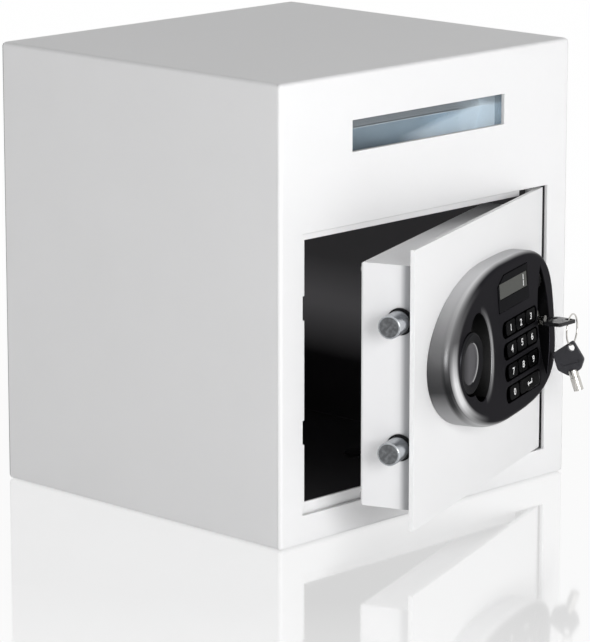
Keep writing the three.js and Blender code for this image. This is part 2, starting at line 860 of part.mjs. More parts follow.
function addCarriageGuide() {
  const base = -doorThickness - seatGap;
  const strip = outBlock(
    [guideX - guideWidth / 2, guideX + guideWidth / 2],
    [base - guideSheet, base],
    [guideHeights[0] - guideWidth / 2, guideHeights[1] + guideWidth / 2],
  );
  const headFront = -carriageSetback - carriageSheet - slideGap;
  const stud = [
    [0, headFront - guideHeadThickness],
    [guideHeadRadius, headFront - guideHeadThickness],
    [guideHeadRadius, headFront],
    [guideStudRadius, headFront],
    [guideStudRadius, base - guideSheet / 2],
    [0, base - guideSheet / 2],
  ];
  const studs = guideHeights.map((z) => turned(stud, "out", [guideX, 0, z], smallSides));
  add(door, "carriage_guide", join(strip, ...studs), "steel");
}

// Knob: a dished disc with a socket for the spindle, which carries the crank on its inner end
function addKnob() {
  const top = panelThickness + knobProud;
  const bottom = top - knobHeight;
  const dish = top - knobDishDepth;
  const socket = bottom + spindleSocket;
  const profile = [
    [0, socket],
    [spindleRadius + seatGap, socket],
    [spindleRadius + seatGap, bottom],
    [knobRadius, bottom],
    [knobRadius, top - knobRimWidth],
    [knobRadius - knobRimWidth, top],
    [knobDishRadius, dish + knobRimWidth / 2],
    [knobDishRadius - knobRimWidth / 2, dish],
    [0, dish],
  ];
  add(door, "knob", turned(profile, "out", [knobX, 0, knobZ], knobSides), "charcoal");

  const crankFront = -carriageSetback + crankGap;
  const crankBack = crankFront + crankThickness;
  const shaft = rod(spindleRadius, crankFront, socket - seatGap, "out", [knobX, 0, knobZ]);
  const hub = rod(crankHubRadius, crankFront, crankBack, "out", [knobX, 0, knobZ]);
  const end = rod(crankEndRadius, crankFront, crankBack, "out", [crankPinX, 0, crankPinZ]);
  const pin = rod(crankPinRadius, crankFront - crankPinLength, crankBack, "out", [crankPinX, 0, crankPinZ]);
  const armX = Math.cos(crankAngle + Math.PI / 2) * crankEndRadius;
  const armZ = Math.sin(crankAngle + Math.PI / 2) * crankEndRadius;
  const arm = polygon([
    [knobX - armX, knobZ - armZ],
    [knobX + armX, knobZ + armZ],
    [crankPinX + armX, crankPinZ + armZ],
    [crankPinX - armX, crankPinZ - armZ],
  ]);
  const web = pushed(arm, "out", crankFront, crankBack);
  add(door, "knob_spindle", join(shaft, hub, end, pin, web), "steel");
}

// Latching solenoid under the pan's top: its plunger drops behind the carriage's edge to block it
function addSolenoid() {
  const top = panTop - panSheet - seatGap;
  const bottom = top - solenoidHeight;
  const plungerX = carriageRight + plungerPlay + plungerRadius;
  const plungerY = carriageSetback + carriageSheet / 2;
  const body = block(
    [plungerX - solenoidWidth / 2, plungerX + solenoidWidth / 2],
    [plungerY - solenoidDepth / 2, plungerY + solenoidDepth / 2],
    [bottom, top],
  );
  const bore = rod(
    plungerRadius + seatGap,
    bottom - overrun,
    bottom + plungerHidden + slideGap,
    "up",
    [plungerX, plungerY, 0],
    smallSides,
  );
  add(door, "solenoid_body", cut(body, bore), "zinc");
  const tip = boltHeights[1] + carriageMargin + plungerRest;
  const plunger = rod(plungerRadius, tip, bottom + plungerHidden, "up", [plungerX, plungerY, 0], smallSides);
  add(door, "solenoid_plunger", plunger, "steel");
}

// The panel's oval: a superellipse, fuller on the hinge side, and its inward direction at an angle
function ovalPoint(angle, inset) {
  const c = Math.cos(angle);
  const s = Math.sin(angle);
  const fullness = c > 0 ? panelRightFullnessShare : panelLeftFullnessShare;
  const u = Math.sign(c) * Math.abs(c) ** (2 / fullness);
  const v = Math.sign(s) * Math.abs(s) ** (2 / fullness);
  const slopeU = (Math.sign(u) * Math.abs(u) ** (fullness - 1)) / panelHalfWidth;
  const slopeV = (Math.sign(v) * Math.abs(v) ** (fullness - 1)) / panelHalfHeight;
  const steepness = Math.hypot(slopeU, slopeV);
  return [
    panelX + u * panelHalfWidth - (inset * slopeU) / steepness,
    panelZ + v * panelHalfHeight - (inset * slopeV) / steepness,
  ];
}

// A dome over the oval: [inset, height] pairs from the door outwards, leaning with the panel's face
function ovalDome(profile) {
  const points = profile.map(([inset, height]) =>
    new THREE.Vector2(inset === null ? 0 : panelHalfHeight - inset, height),
  );
  const geometry = new THREE.LatheGeometry(points, ovalSides).applyMatrix4(turnedTo.out);
  const position = geometry.attributes.position;
  for (let i = 0; i < position.count; i++) {
    const reach = Math.hypot(position.getX(i), position.getZ(i));
    const height = -position.getY(i);
    const angle = Math.atan2(position.getZ(i), position.getX(i));
    const atAxis = reach < weldGap;
    const [x, z] = atAxis ? [panelX, panelZ] : ovalPoint(angle, panelHalfHeight - reach);
    const lean = (height / panelThickness) * (faceZ - z) * panelSlope;
    position.setXYZ(i, x, -height - lean, z);
  }
  return geometry;
}

function shoulderProfile() {
  const steps = [...Array(shoulderSteps + 1).keys()].map((i) => {
    const angle = (i * Math.PI) / (2 * shoulderSteps);
    return [
      panelShoulder * (1 - Math.cos(angle)),
      panelThickness - panelShoulder * (1 - Math.sin(angle)),
    ];
  });
  return [[null, seatGap], [0, seatGap], ...steps, [null, panelThickness]];
}

function ellipse(x, y, halfWidth, halfHeight) {
  const shape = new THREE.Shape();
  shape.absellipse(x, y, halfWidth, halfHeight, 0, 2 * Math.PI);
  return shape;
}

// The key groove's outline: two arcs that meet in points over and under the lock
function lens(x, y, halfWidth, halfHeight) {
  const radius = (halfHeight ** 2 + halfWidth ** 2) / (2 * halfWidth);
  const offset = radius - halfWidth;
  const spread = Math.asin(halfHeight / radius);
  const shape = new THREE.Shape();
  shape.absarc(x - offset, y, radius, -spread, spread);
  shape.absarc(x + offset, y, radius, Math.PI - spread, Math.PI + spread);
  shape.closePath();
  return shape;
}

const inFace = (geometry) => geometry.applyMatrix4(face.matrix);
const keyColumns = [0, 1, 2].map((i) => keyFirstX + i * keyPitchX);
const keyRows = [0, 1, 2, 3].map((i) => keyFirstS - i * keyPitchS);
const wideKeyWidth = keyWidth + keyPitchX;
const wideKeyX = (keyColumns[1] + keyColumns[2]) / 2;
const keyPlaces = [
  ...keyRows.slice(0, 3).flatMap((s, row) =>
    keyColumns.map((x, column) => [`key_${row * 3 + column + 1}`, x, s, keyWidth]),
  ),
  ["key_0", keyColumns[0], keyRows[3], keyWidth],
  ["key_enter", wideKeyX, keyRows[3], wideKeyWidth],
];
const boardLow = keyRows[3] - boardMargin;
const boardHigh = bezelRise + bezelHeight - boardMargin;
const boardFront = -panelFace - keyStemTail - keyTravel - boardGap;

function bezelOutline(margin) {
  const left = bezelLeft - margin;
  const right = bezelLeft + bezelWidth + margin;
  const bottom = bezelRise - margin;
  const top = bezelRise + bezelHeight + margin;
  return polygon([
    [left, bottom],
    [right, bottom],
    [right, top],
    [left + 2 * bezelCut, top],
    [left, top - bezelCut],
  ]);
}

function addPanel() {
  const dome = ovalDome(shoulderProfile());
  const hollow = ovalDome([
    [null, -overrun],
    [panelWall, -overrun],
    [panelWall, panelThickness - panelShoulder],
    [panelShoulder, panelThickness - panelFace],
    [null, panelThickness - panelFace],
  ]);
  const high = panelThickness + panelShoulder;
  const knobWell = (extra, floor) =>
    rod(knobRadius + knobGap + extra, floor, high, "out", [knobX, 0, knobZ], knobSides);
  const fingerWell = (extra, floor) =>
    pushed(
      ellipse(fingerX, fingerZ, fingerHalfWidth + extra, fingerHalfHeight + extra),
      "out",
      floor,
      high,
      fingerArcSteps,
    );
  const groove = (extra, floor) =>
    pushed(
      lens(grooveX, lockZ, grooveHalfWidth + extra, grooveHalfHeight + grooveTipStretch * extra),
      "out",
      floor,
      high,
      grooveArcSteps,
    );
  const room = cut(
    hollow,
    knobWell(panelWall, -2 * overrun),
    fingerWell(panelWall, -2 * overrun),
    groove(grooveWall, grooveFloor - grooveWall),
  );
  const keyRowShapes = keyRows.map((s) =>
    roundedRectangle(
      keyRowRight - keyRowLeft,
      keyRowHeight,
      keyRowHeight / 2 - seatGap,
      (keyRowLeft + keyRowRight) / 2,
      s,
    ),
  );
  const rowWells = keyRowShapes.map((shape) => inFace(pushed(shape, "out", -keyRowDepth, high)));
  const stemHoles = keyPlaces.map(([, x, s]) =>
    inFace(rod(keyStemRadius + slideGap, -panelFace - overrun, 0, "out", [x, 0, s], smallSides)),
  );
  const bezelPocket = inFace(pushed(bezelOutline(seatGap), "out", -bezelDepth - seatGap, high));
  const posts = [boardLeft + boardPostRadius, boardRight - boardPostRadius].flatMap((x) =>
    [keyRows[3] - keyPitchS / 2, bezelRise - boardPostRadius].map((s) =>
      inFace(rod(boardPostRadius, boardFront + seatGap, -panelFace + overrun, "out", [x, 0, s], smallSides)),
    ),
  );
  const spindleHole = rod(spindleRadius + slideGap, -overrun, high, "out", [knobX, 0, knobZ]);
  const lockHole = rod(lockRadius + seatGap, -overrun, high, "out", [lockX, 0, lockZ]);
  const shell = join(cut(dome, room), ...posts);
  const panel = cut(
    shell,
    knobWell(0, wellFloor),
    fingerWell(0, wellFloor),
    groove(0, grooveFloor),
    ...rowWells,
    ...stemHoles,
    bezelPocket,
    spindleHole,
    lockHole,
  );
  add(door, "lock_panel", panel, "charcoal");
}

function addDisplay() {
  const bezel = pushed(bezelOutline(0), "out", -bezelDepth, bezelProud);
  const left = bezelLeft + windowInset;
  const right = bezelLeft + bezelWidth - windowInset;
  const top = bezelRise + bezelHeight - windowDrop;
  const bottom = top - windowHeight;
  const pocketFloor = bezelProud - windowPocket - seatGap;
  const pocket = outBlock([left, right], [pocketFloor, bezelProud + overrun], [bottom, top]);
  add(face, "display_bezel", cut(bezel, pocket), "glossBlack");
  const pane = outBlock(
    [left + seatGap, right - seatGap],
    [pocketFloor + seatGap, pocketFloor + seatGap + windowThickness],
    [bottom + seatGap, top - seatGap],
  );
  add(face, "display_window", pane, "displayGlass");
}

function addKeypad() {
  keyPlaces.forEach(([name, x, s, width]) => {
    const outline = roundedRectangle(width, keyHeight, keyCorner, x, s);
    const cap = pushed(outline, "out", -keySunk - keyThickness, -keySunk);
    const stem = rod(
      keyStemRadius,
      -panelFace - keyStemTail,
      -keySunk - keyThickness / 2,
      "out",
      [x, 0, s],
      smallSides,
    );
    add(face, name, join(cap, stem), "blackPlastic");
  });
  const boardOut = [boardFront - boardThickness, boardFront];
  const board = outBlock([boardLeft, boardRight], boardOut, [boardLow, boardHigh]);
  add(face, "keypad_board", board, "boardGreen");
}

// Key lock: a flanged barrel through the groove's floor and the door, its turning plug and its cam
function addLock() {
  const flangeBase = grooveFloor + seatGap;
  const flangeTop = flangeBase + lockFlangeHeight;
  const tail = -doorThickness - lockTail;
  const body = [
    [plugRadius + seatGap, tail],
    [lockRadius, tail],
    [lockRadius, flangeBase],
    [lockFlangeRadius, flangeBase],
    [lockFlangeRadius, flangeTop],
    [plugRadius + seatGap, flangeTop],
    [plugRadius + seatGap, tail],
  ];
  add(door, "lock_body", turned(body, "out", [lockX, 0, lockZ]), "nickel");
  const floor = flangeTop - keyTubeBore - seatGap;
  const plug = [
    [0, tail - seatGap],
    [plugRadius, tail - seatGap],
    [plugRadius, flangeTop],
    [keyTubeRadius + seatGap, flangeTop],
    [keyTubeRadius + seatGap, floor],
    [plugPostRadius, floor],
    [plugPostRadius, flangeTop],
    [0, flangeTop],
  ];
  add(door, "lock_plug", turned(plug, "out", [lockX, 0, lockZ]), "nickel");
  const camFront = tail - 2 * seatGap;
  const camShape = roundedRectangle(
    lockCamWidth,
    lockCamLength + lockCamWidth / 2,
    lockCamWidth / 2 - seatGap,
    lockX,
    lockZ - lockCamLength / 2 + lockCamWidth / 4,
  );
  add(door, "lock_cam", pushed(camShape, "out", camFront - lockCamThickness, camFront), "steel");
}

// The ring hangs on the override key's bow, so the bow's hole is as wide as the wire's way through it
const ringDrop = ringRadius * ringDropShare;
const wireInner = Math.sqrt((ringRadius - ringWire) ** 2 - (ringDrop + bowThickness / 2) ** 2);
const wireOuter = Math.sqrt((ringRadius + ringWire) ** 2 - (ringDrop - bowThickness / 2) ** 2);
const ringShift = (wireInner + wireOuter) / 2;
const bowHoleRadius = (wireOuter - wireInner) / 2 + bowHoleClearance;

// A key: a flat six-sided bow with a hole in one corner and a tubular shank, its length along -y
function keyBlank() {
  const outline = polygon([bowTopLeft, bowLeft, bowBottomLeft, bowBottomRight, bowRight, bowTopRight]);
  const bow = pushed(outline, "up", -bowThickness / 2, bowThickness / 2);
  const hole = rod(bowHoleRadius, -bowThickness, bowThickness, "up", [bowHoleB, bowHoleA, 0]);
  const shank = rod(keyTubeRadius, keyTubeStart, keyTubeEnd, "out", [0, 0, 0]);
  const boreStart = keyTubeEnd - keyTubeBore;
  const bore = rod(keyTubeRadius - keyTubeWall, boreStart, keyTubeEnd + overrun, "out", [0, 0, 0]);
  return cut(join(bow, shank), hole, bore);
}

function addKeys() {
  const override = add(door, "override_key", keyBlank(), "blackPlastic");
  override.position.set(lockX, -bowEdge, lockZ);
  override.rotation.x = Math.PI;

  const ring = new THREE.TorusGeometry(ringRadius, ringWire, ringWireSides, ringSides).rotateX(Math.PI / 2);
  const ringMesh = add(door, "key_ring", ring, "nickel");
  const ringX = lockX + bowHoleB + ringShift;
  const ringOut = bowEdge + bowHoleA;
  ringMesh.position.set(ringX, -ringOut, lockZ - ringDrop);

  const tilt = THREE.MathUtils.degToRad(spareTiltDegrees);
  const keyRight = new THREE.Vector3(0, -Math.cos(tilt), Math.sin(tilt));
  const keyUp = new THREE.Vector3(0, Math.sin(tilt), Math.cos(tilt));
  const keyThrough = new THREE.Vector3().crossVectors(keyRight, keyUp);
  const turn = new THREE.Matrix4().makeBasis(keyRight, keyUp, keyThrough);
  const spare = add(door, "spare_key", keyBlank(), "blackPlastic");
  spare.quaternion.setFromRotationMatrix(turn);
  const holeDrop = bowHoleRadius - ringWire - spareHang;
  const hole = new THREE.Vector3(bowHoleB, bowHoleA, 0).applyMatrix4(turn);
  spare.position.set(ringX, -ringOut, lockZ - ringDrop - ringRadius - holeDrop).sub(hole);
}

addShell();
addAnchorPlugs();
addJambs();
addHingePins();
addChute();
addDoorPlate();
addDoorPan();
addPanCover();
addBatteryBox();
addHingeLugs();
addBolts();
addCarriage();
addCarriageGuide();
addKnob();
addSolenoid();
addPanel();
addDisplay();
addKeypad();
addLock();
addKeys();

export default safe;
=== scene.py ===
import bpy
import bmesh
import json
import math
from mathutils import Matrix, Vector


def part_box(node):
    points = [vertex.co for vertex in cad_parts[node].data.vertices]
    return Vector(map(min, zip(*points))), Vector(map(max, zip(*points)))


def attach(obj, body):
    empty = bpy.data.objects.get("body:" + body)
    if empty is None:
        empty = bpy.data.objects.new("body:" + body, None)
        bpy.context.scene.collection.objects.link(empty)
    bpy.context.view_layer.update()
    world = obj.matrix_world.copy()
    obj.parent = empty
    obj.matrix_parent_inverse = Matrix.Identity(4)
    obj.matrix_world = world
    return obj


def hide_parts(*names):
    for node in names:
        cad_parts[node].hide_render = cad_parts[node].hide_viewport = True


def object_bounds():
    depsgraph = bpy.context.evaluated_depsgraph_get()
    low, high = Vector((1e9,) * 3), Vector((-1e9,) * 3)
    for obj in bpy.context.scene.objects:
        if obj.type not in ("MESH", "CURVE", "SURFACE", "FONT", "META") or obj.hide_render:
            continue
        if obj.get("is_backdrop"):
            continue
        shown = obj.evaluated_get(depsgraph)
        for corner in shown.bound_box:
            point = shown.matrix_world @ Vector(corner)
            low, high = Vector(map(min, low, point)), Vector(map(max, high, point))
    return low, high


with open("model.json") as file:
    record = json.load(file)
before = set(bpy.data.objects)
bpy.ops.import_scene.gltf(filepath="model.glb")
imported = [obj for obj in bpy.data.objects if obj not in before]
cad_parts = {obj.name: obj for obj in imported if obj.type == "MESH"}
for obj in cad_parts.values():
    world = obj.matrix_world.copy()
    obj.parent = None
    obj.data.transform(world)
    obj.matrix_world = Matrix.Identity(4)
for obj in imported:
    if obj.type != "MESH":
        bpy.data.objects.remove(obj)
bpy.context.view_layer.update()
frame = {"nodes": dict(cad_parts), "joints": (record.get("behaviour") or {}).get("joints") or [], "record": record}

MM = 0.001
# Corners closer than WELD are merged, a fine round has FINE sides, FIT is the room round a fitted piece
WELD = 1e-6
FINE = 96
FIT = 0.3 * MM

hinge = next(joint for joint in frame["joints"] if joint["name"] == "door_hinge")
pin = Vector(hinge["pos_m"])
ajar = -math.radians(hinge["range_deg"][0])
swing = Matrix.Translation(pin) @ Matrix.Rotation(ajar, 4, "Z") @ Matrix.Translation(-pin)

# The panel's face leans back, so its keys and display are made on a leaning plane
face_lean = math.radians(4.5)
face_middle = Vector((0, -194.5 * MM, 162 * MM))
towards_front = Matrix.Rotation(math.pi / 2, 4, "X")
leaning = Matrix.Translation(face_middle) @ Matrix.Rotation(-face_lean, 4, "X")
on_face = swing @ leaning @ towards_front


def corners_in(node, place):
    """The lowest and highest corners of a solid in the frame of a place."""
    back = place.inverted()
    points = [back @ vertex.co for vertex in frame["nodes"][node].data.vertices]
    low = Vector(min(point[axis] for point in points) for axis in range(3))
    high = Vector(max(point[axis] for point in points) for axis in range(3))
    return low, high


panel_low, panel_high = corners_in("lock_panel", swing)
panel_half_width = (panel_high.x - panel_low.x) / 2
panel_half_height = (panel_high.z - panel_low.z) / 2
panel_middle = ((panel_high.x + panel_low.x) / 2, (panel_high.z + panel_low.z) / 2)
finger_at = (-58 * MM, 158.5 * MM)
finger_half = (26 * MM, 38 * MM)
lock_low, lock_high = corners_in("lock_body", swing)
lock_at = ((lock_low.x + lock_high.x) / 2, (lock_low.z + lock_high.z) / 2)
groove_at = (99.5 * MM, lock_at[1])
groove_half = (14.5 * MM, 50 * MM)
knob_low, knob_high = corners_in("knob", swing)
knob_middle = (knob_low + knob_high) / 2
knob_radius = (knob_high.x - knob_low.x) / 2
knob_depth = knob_high.y - knob_low.y
dish_radius = 18 * MM

# Where painted shade and painted light change: the pan's free side, the hood's foot and fold, the front of the
# chute's cheek
pan_side = corners_in("door_pan", swing)[0].x - pin.x + FIT
hood_foot = 330 * MM
hood_fold = 346.2 * MM
cheek_edge = -158 * MM


# Finishes


class Wire:
    """A number on its way through a node tree. Sums and products of wires add Math nodes."""

    def __init__(self, nodes, socket):
        self.nodes = nodes
        self.socket = socket

    def maths(self, operation, first, second=0.0):
        return self.nodes.node("ShaderNodeMath", {"operation": operation}, {0: first, 1: second})

    def __add__(self, other):
        return self.maths("ADD", self, other)

    def __sub__(self, other):
        return self.maths("SUBTRACT", self, other)

    def __rsub__(self, other):
        return self.maths("SUBTRACT", other, self)

    def __mul__(self, other):
        return self.maths("MULTIPLY", self, other)

    def __gt__(self, other):
        return self.maths("GREATER_THAN", self, other)

    def __lt__(self, other):
        return self.maths("LESS_THAN", self, other)

    def __pow__(self, other):
        return self.maths("POWER", self, other)

    def magnitude(self):
        return self.maths("ABSOLUTE", self)

    def sine(self):
        return self.maths("SINE", self)

    def larger(self, other):
        return self.maths("MAXIMUM", self, other)

    def limited(self, low, high):
        return self.maths("MINIMUM", self.maths("MAXIMUM", self, low), high)

    def ramp(self, start, end, low=0.0):
        """Runs evenly from 0 at the start to 1 at the end, and stays between low and 1."""
        return ((self - start) * (1 / (end - start))).limited(low, 1)

    def near(self, middle, width, peak=1.0, low=0.0):
        """The peak at the middle, less by 1 for each width away from it, between low and 1."""
        return (peak - (self - middle).magnitude() * (1 / width)).limited(low, 1)

    __radd__ = __add__
    __rmul__ = __mul__


class Nodes:
    """The node tree of a finish or of the world, and the way nodes and links are made in it."""

    def __init__(self, tree):
        self.tree = tree

    def node(self, kind, settings, inputs, output=0):
        """Adds a node, sets it, fills or links its sockets and returns one of its outputs."""
        made = self.tree.nodes.new(kind)
        for key, value in settings.items():
            setattr(made, key, value)
        for key, value in inputs.items():
            self.plug(made.inputs[key], value)
        return Wire(self, made.outputs[output])

    def plug(self, socket, value):
        if isinstance(value, Wire):
            self.tree.links.new(value.socket, socket)
        else:
            socket.default_value = value

    def seen_rays(self):
        """1 for rays that show the white studio as it is, 0 for rays that light the object."""
        kinds = ("Is Camera Ray", "Is Glossy Ray", "Is Transmission Ray")
        camera, glossy, through = [self.node("ShaderNodeLightPath", {}, {}, kind) for kind in kinds]
        return camera.larger(glossy).larger(through)


class Finish(Nodes):
    """A surface finish: one shader, with patterns that feed its colour, roughness and bump."""

    def __init__(self, name, **values):
        self.material = bpy.data.materials.new(name)
        self.material.use_nodes = True
        super().__init__(self.material.node_tree)
        self.shader = self.tree.nodes["Principled BSDF"]
        for key, value in values.items():
            self.set(key.replace("_", " ").title().replace("Ior", "IOR"), value)

    def set(self, name, value):
        self.plug(self.shader.inputs[name], value)

    def place(self, where=None, turn=0.0, stretch=(1, 1, 1)):
        """Object coordinates, centred on a place, turned about the upright and stretched."""
        point = self.node("ShaderNodeTexCoord", {}, {}, "Object")
        if where is None:
            return point
        inputs = {"Vector": point, "Location": where, "Rotation": (0, 0, turn), "Scale": stretch}
        return self.node("ShaderNodeMapping", {"vector_type": "TEXTURE"}, inputs)

    def leaning_place(self):
        """Object coordinates turned to lie along the panel's leaning face, with the last axis out of it."""
        point = self.node("ShaderNodeTexCoord", {}, {}, "Object")
        middle, turn, _ = on_face.decompose()
        inputs = {"Vector": point, "Location": middle, "Rotation": turn.to_euler()}
        return self.node("ShaderNodeMapping", {"vector_type": "TEXTURE"}, inputs)

    def axes(self, point):
        return [self.node("ShaderNodeSeparateXYZ", {}, {"Vector": point}, axis) for axis in "XYZ"]

    def noise(self, point, scale, detail=2.0):
        inputs = {"Vector": point, "Scale": scale, "Detail": detail}
        return self.node("ShaderNodeTexNoise", {}, inputs)

    def blend(self, mask, first, second):
        """The first colour where the mask is 0, the second where it is 1."""
        inputs = {0: mask, 6: (*first, 1) if isinstance(first, tuple) else first}
        inputs[7] = (*second, 1) if isinstance(second, tuple) else second
        return self.node("ShaderNodeMix", {"data_type": "RGBA"}, inputs, 2)

    def bump(self, height, depth, strength=1.0):
        inputs = {"Height": height, "Distance": depth, "Strength": strength}
        self.set("Normal", self.node("ShaderNodeBump", {}, inputs))

    def sheen(self, mask, colour):
        """Painted light: a faint emitted glow where the real piece catches light that a plain lamp doesn't bring.
        """
        self.set("Emission Color", self.blend(mask, (0, 0, 0), colour))
        self.set("Emission Strength", 1.0)


def scaled(colour, share):
    return tuple(share * part for part in colour)


paint_white = (0.8, 0.8, 0.805)
lacquer_tint = (0.5, 0.5, 0.5, 1)


def powder_coat(name, roughness=0.38):
    """Fine orange-peel paint, a little uneven in tone."""
    finish = Finish(name, specular_ior_level=0.5)
    point = finish.place()
    cloud = finish.noise(point, 9)
    peel = finish.noise(point, 850, 1)
    grain = finish.noise(point, 2600, 0)
    finish.set("Base Color", finish.blend(cloud, scaled(paint_white, 0.965), paint_white))
    finish.set("Roughness", cloud * 0.08 + (roughness - 0.04) + grain * 0.04)
    finish.bump(peel + grain * 0.4, 0.03 * MM, 0.35)
    return finish


def pan_coat():
    """The pan's white paint, with a grey strip of painted shade down its free side where it meets the plate."""
    shade_strip_end = 8.5 * MM
    shade_strip_full = 3.5 * MM
    finish = powder_coat("pan_coat", roughness=0.3)
    across, deep, _ = finish.axes(finish.place(tuple(pin), ajar))
    # Painted shade: a grey strip on the free side, next to the plate that overhangs it
    painted_shade_strip = deep.ramp(shade_strip_end, shade_strip_full) * (across < pan_side)
    finish.set("Base Color", finish.blend(painted_shade_strip, (0.79, 0.79, 0.8), (0.4, 0.405, 0.42)))
    return finish.material


def two_tone_coat(name, inside_test):
    """White outside and black inside, told apart by where a point lies in the cabinet.

    The black carries a painted sheen, a faint emitted glow, brightest a third of the way up and weaker above.
    """
    sheen_foot = 60 * MM
    sheen_full = 110 * MM
    sheen_top = 120 * MM
    sheen_low = 182.5 * MM
    finish = powder_coat(name)
    point = finish.place()
    across, deep, height = finish.axes(point)
    inside = inside_test(across, deep, height)
    cloud = finish.noise(point, 14)
    white_tone = finish.blend(cloud, (0.775, 0.775, 0.78), paint_white)
    black_tone = finish.blend(cloud, (0.06, 0.058, 0.062), (0.09, 0.087, 0.092))
    finish.set("Base Color", finish.blend(inside, white_tone, black_tone))
    finish.set("Roughness", 0.38 - inside * 0.2 + cloud * 0.06)
    # Painted light: a faint glow on the black inside, in a band up its walls
    rise = height.ramp(sheen_foot, sheen_full)
    fall = height.ramp(sheen_low, sheen_top, 0.4)
    finish.sheen(rise * fall * inside, (0.042, 0.041, 0.043))
    return finish.material


def zinc_plate(name):
    """Bright zinc with faint rolling marks across the cabinet."""
    finish = Finish(name, metallic=0.8)
    rolled = finish.noise(finish.place((0, 0, 0), stretch=(6, 1, 1)), 260, 3)
    cloud = finish.noise(finish.place(), 22)
    finish.set("Base Color", finish.blend(cloud, (0.54, 0.61, 0.66), (0.7, 0.77, 0.82)))
    finish.set("Roughness", rolled * 0.1 + 0.16)
    finish.bump(rolled, 0.01 * MM, 0.1)
    return finish


def chute_zinc():
    """Zinc with a painted sheen, an emitted glow, on the hood's upper fold and towards the slot's right end."""
    edge_slope = 4
    edge_fade = 35.7 * MM
    fold_sheen = 0.45
    finish = zinc_plate("chute_zinc")
    across, deep, height = finish.axes(finish.place())
    # Painted reflection: the glow brightens the hood towards the slot's right end and above its fold
    edge = ((height - hood_foot) * edge_slope).larger(0)
    right = ((across - edge) * (1 / edge_fade)).limited(0, 1)
    upper = (height > hood_fold) * fold_sheen
    finish.sheen(right.larger(upper) * (deep > cheek_edge), (0.2, 0.22, 0.235))
    return finish.material


def turned_steel(name, tone, roughness, where):
    """Lathe-turned steel: scratched along its length, its end painted darker as shade in uneven patches of wear,
    the end's rim lighter as a painted highlight, with fine rings there.
    """
    ring_rate = 9000.0
    highlight_rim_start = 8.6 * MM
    end_depth = 0.3 * MM
    finish = Finish(name, metallic=1.0, specular_tint=(0.7, 0.7, 0.7, 1))
    point = finish.place(where, ajar)
    across, deep, up = finish.axes(point)
    reach = (deep * deep + up * up) ** 0.5
    rings = (reach * ring_rate).sine()
    fine = finish.noise(finish.place(where, ajar, (1, 0.2, 0.2)), 700, 2)
    cloud = finish.noise(point, 60)
    wear = finish.noise(point, 330, 3).ramp(0.4, 0.9)
    smooth = finish.blend(cloud, scaled(tone, 0.72), tone)
    worn_and_shaded_end = finish.blend(wear, scaled(tone, 0.16), scaled(tone, 0.34))
    # Painted shade darkens the end, and a painted highlight lightens its rim
    on_end = (across < end_depth) * (1 - (reach > highlight_rim_start) * 0.5)
    finish.set("Base Color", finish.blend(on_end, smooth, worn_and_shaded_end))
    finish.set("Roughness", fine * 0.14 + roughness + cloud * 0.06)
    finish.bump(rings * 0.3 + fine, 0.012 * MM, 0.35)
    return finish.material


def satin_charcoal():
    """The panel's dark metallic lacquer: a fine flake, with painted light making the wall and rims lighter than
    the face, and painted shade in the wells.

    The oval is measured in shares of its half width and height, so 1 is its edge, and the finger
    recess and the key groove in the same way. Out is the height over the leaning face.
    """
    shoulder_start = 0.885
    groove_rim = 1.03
    wall_start = -0.6 * MM
    wall_full = -3.6 * MM
    finish = Finish("satin_charcoal", metallic=1.0, specular_tint=lacquer_tint)
    point = finish.place()
    flake = finish.noise(point, 3200, 1)
    cloud = finish.noise(point, 22)
    across, up, out = finish.axes(finish.leaning_place())

    def share_of(middle, half):
        """How far a point is from a middle, across and up, in shares of the half sizes."""
        return (across - middle[0]) * (1 / half[0]), (up - middle[1] + face_middle.z) * (1 / half[1])

    wide, tall = share_of(panel_middle, (panel_half_width, panel_half_height))
    reach = (wide * wide + tall * tall) ** 0.5
    groove_wide, groove_tall = share_of(groove_at, groove_half)
    in_groove = groove_wide.magnitude() + groove_tall * groove_tall < groove_rim
    outer = (reach > shoulder_start) * (1 - in_groove)

    # The face, and the wells sunk into it, painted darker as shade
    sunk = (out < -1 * MM) * (1 - outer)
    face_tone = finish.blend(flake, (0.013, 0.0125, 0.015), (0.024, 0.023, 0.027))
    well_shade_tone = finish.blend(in_groove, (0.003, 0.003, 0.0035), (0.016, 0.016, 0.018))
    face_tone = finish.blend(sunk, face_tone, well_shade_tone)

    # The wall: lighter towards its top and foot as painted reflection, with a painted shade line under the lit
    # part of the shoulder
    lit = tall.near(-0.3, 0.556, 1.25, 0.12) * wide.ramp(-0.364, -0.818)
    climb = tall + 0.25
    light = (climb * climb.magnitude() * 0.66).larger(climb * -1.64) + (flake - 0.5) * 0.06
    wall_tone = finish.blend(light, (0.06, 0.06, 0.062), (0.7, 0.7, 0.71))
    shade = out.near(-5.5 * MM, 2.8 * MM, 1.4) * outer * lit
    wall_tone = finish.blend(shade * 0.9, wall_tone, (0.02, 0.02, 0.021))
    wall = out.ramp(wall_start, wall_full) * outer

    # Painted highlights: the bright lines on the shoulder and along the finger recess
    shoulder_highlight = reach.near(0.918, 0.0385, 1.5) * (out > -2.5 * MM)
    finger_wide, finger_tall = share_of(finger_at, finger_half)
    finger_reach = (finger_wide * finger_wide + finger_tall * finger_tall) ** 0.5
    finger_highlight = finger_reach.near(1.1, 0.154) * (finger_wide > 0.3) * finger_tall.near(0, 0.833, 1.35)
    rims = (shoulder_highlight * lit).larger(finger_highlight * 0.55)
    highlight_tone = finish.blend(flake, (0.82, 0.82, 0.83), (0.97, 0.97, 0.98))

    finish.set("Base Color", finish.blend(rims, finish.blend(wall, face_tone, wall_tone), highlight_tone))
    finish.set("Roughness", 0.34 + cloud * 0.05 + flake * 0.05)
    finish.bump(flake, 0.01 * MM, 0.2)
    return finish.material


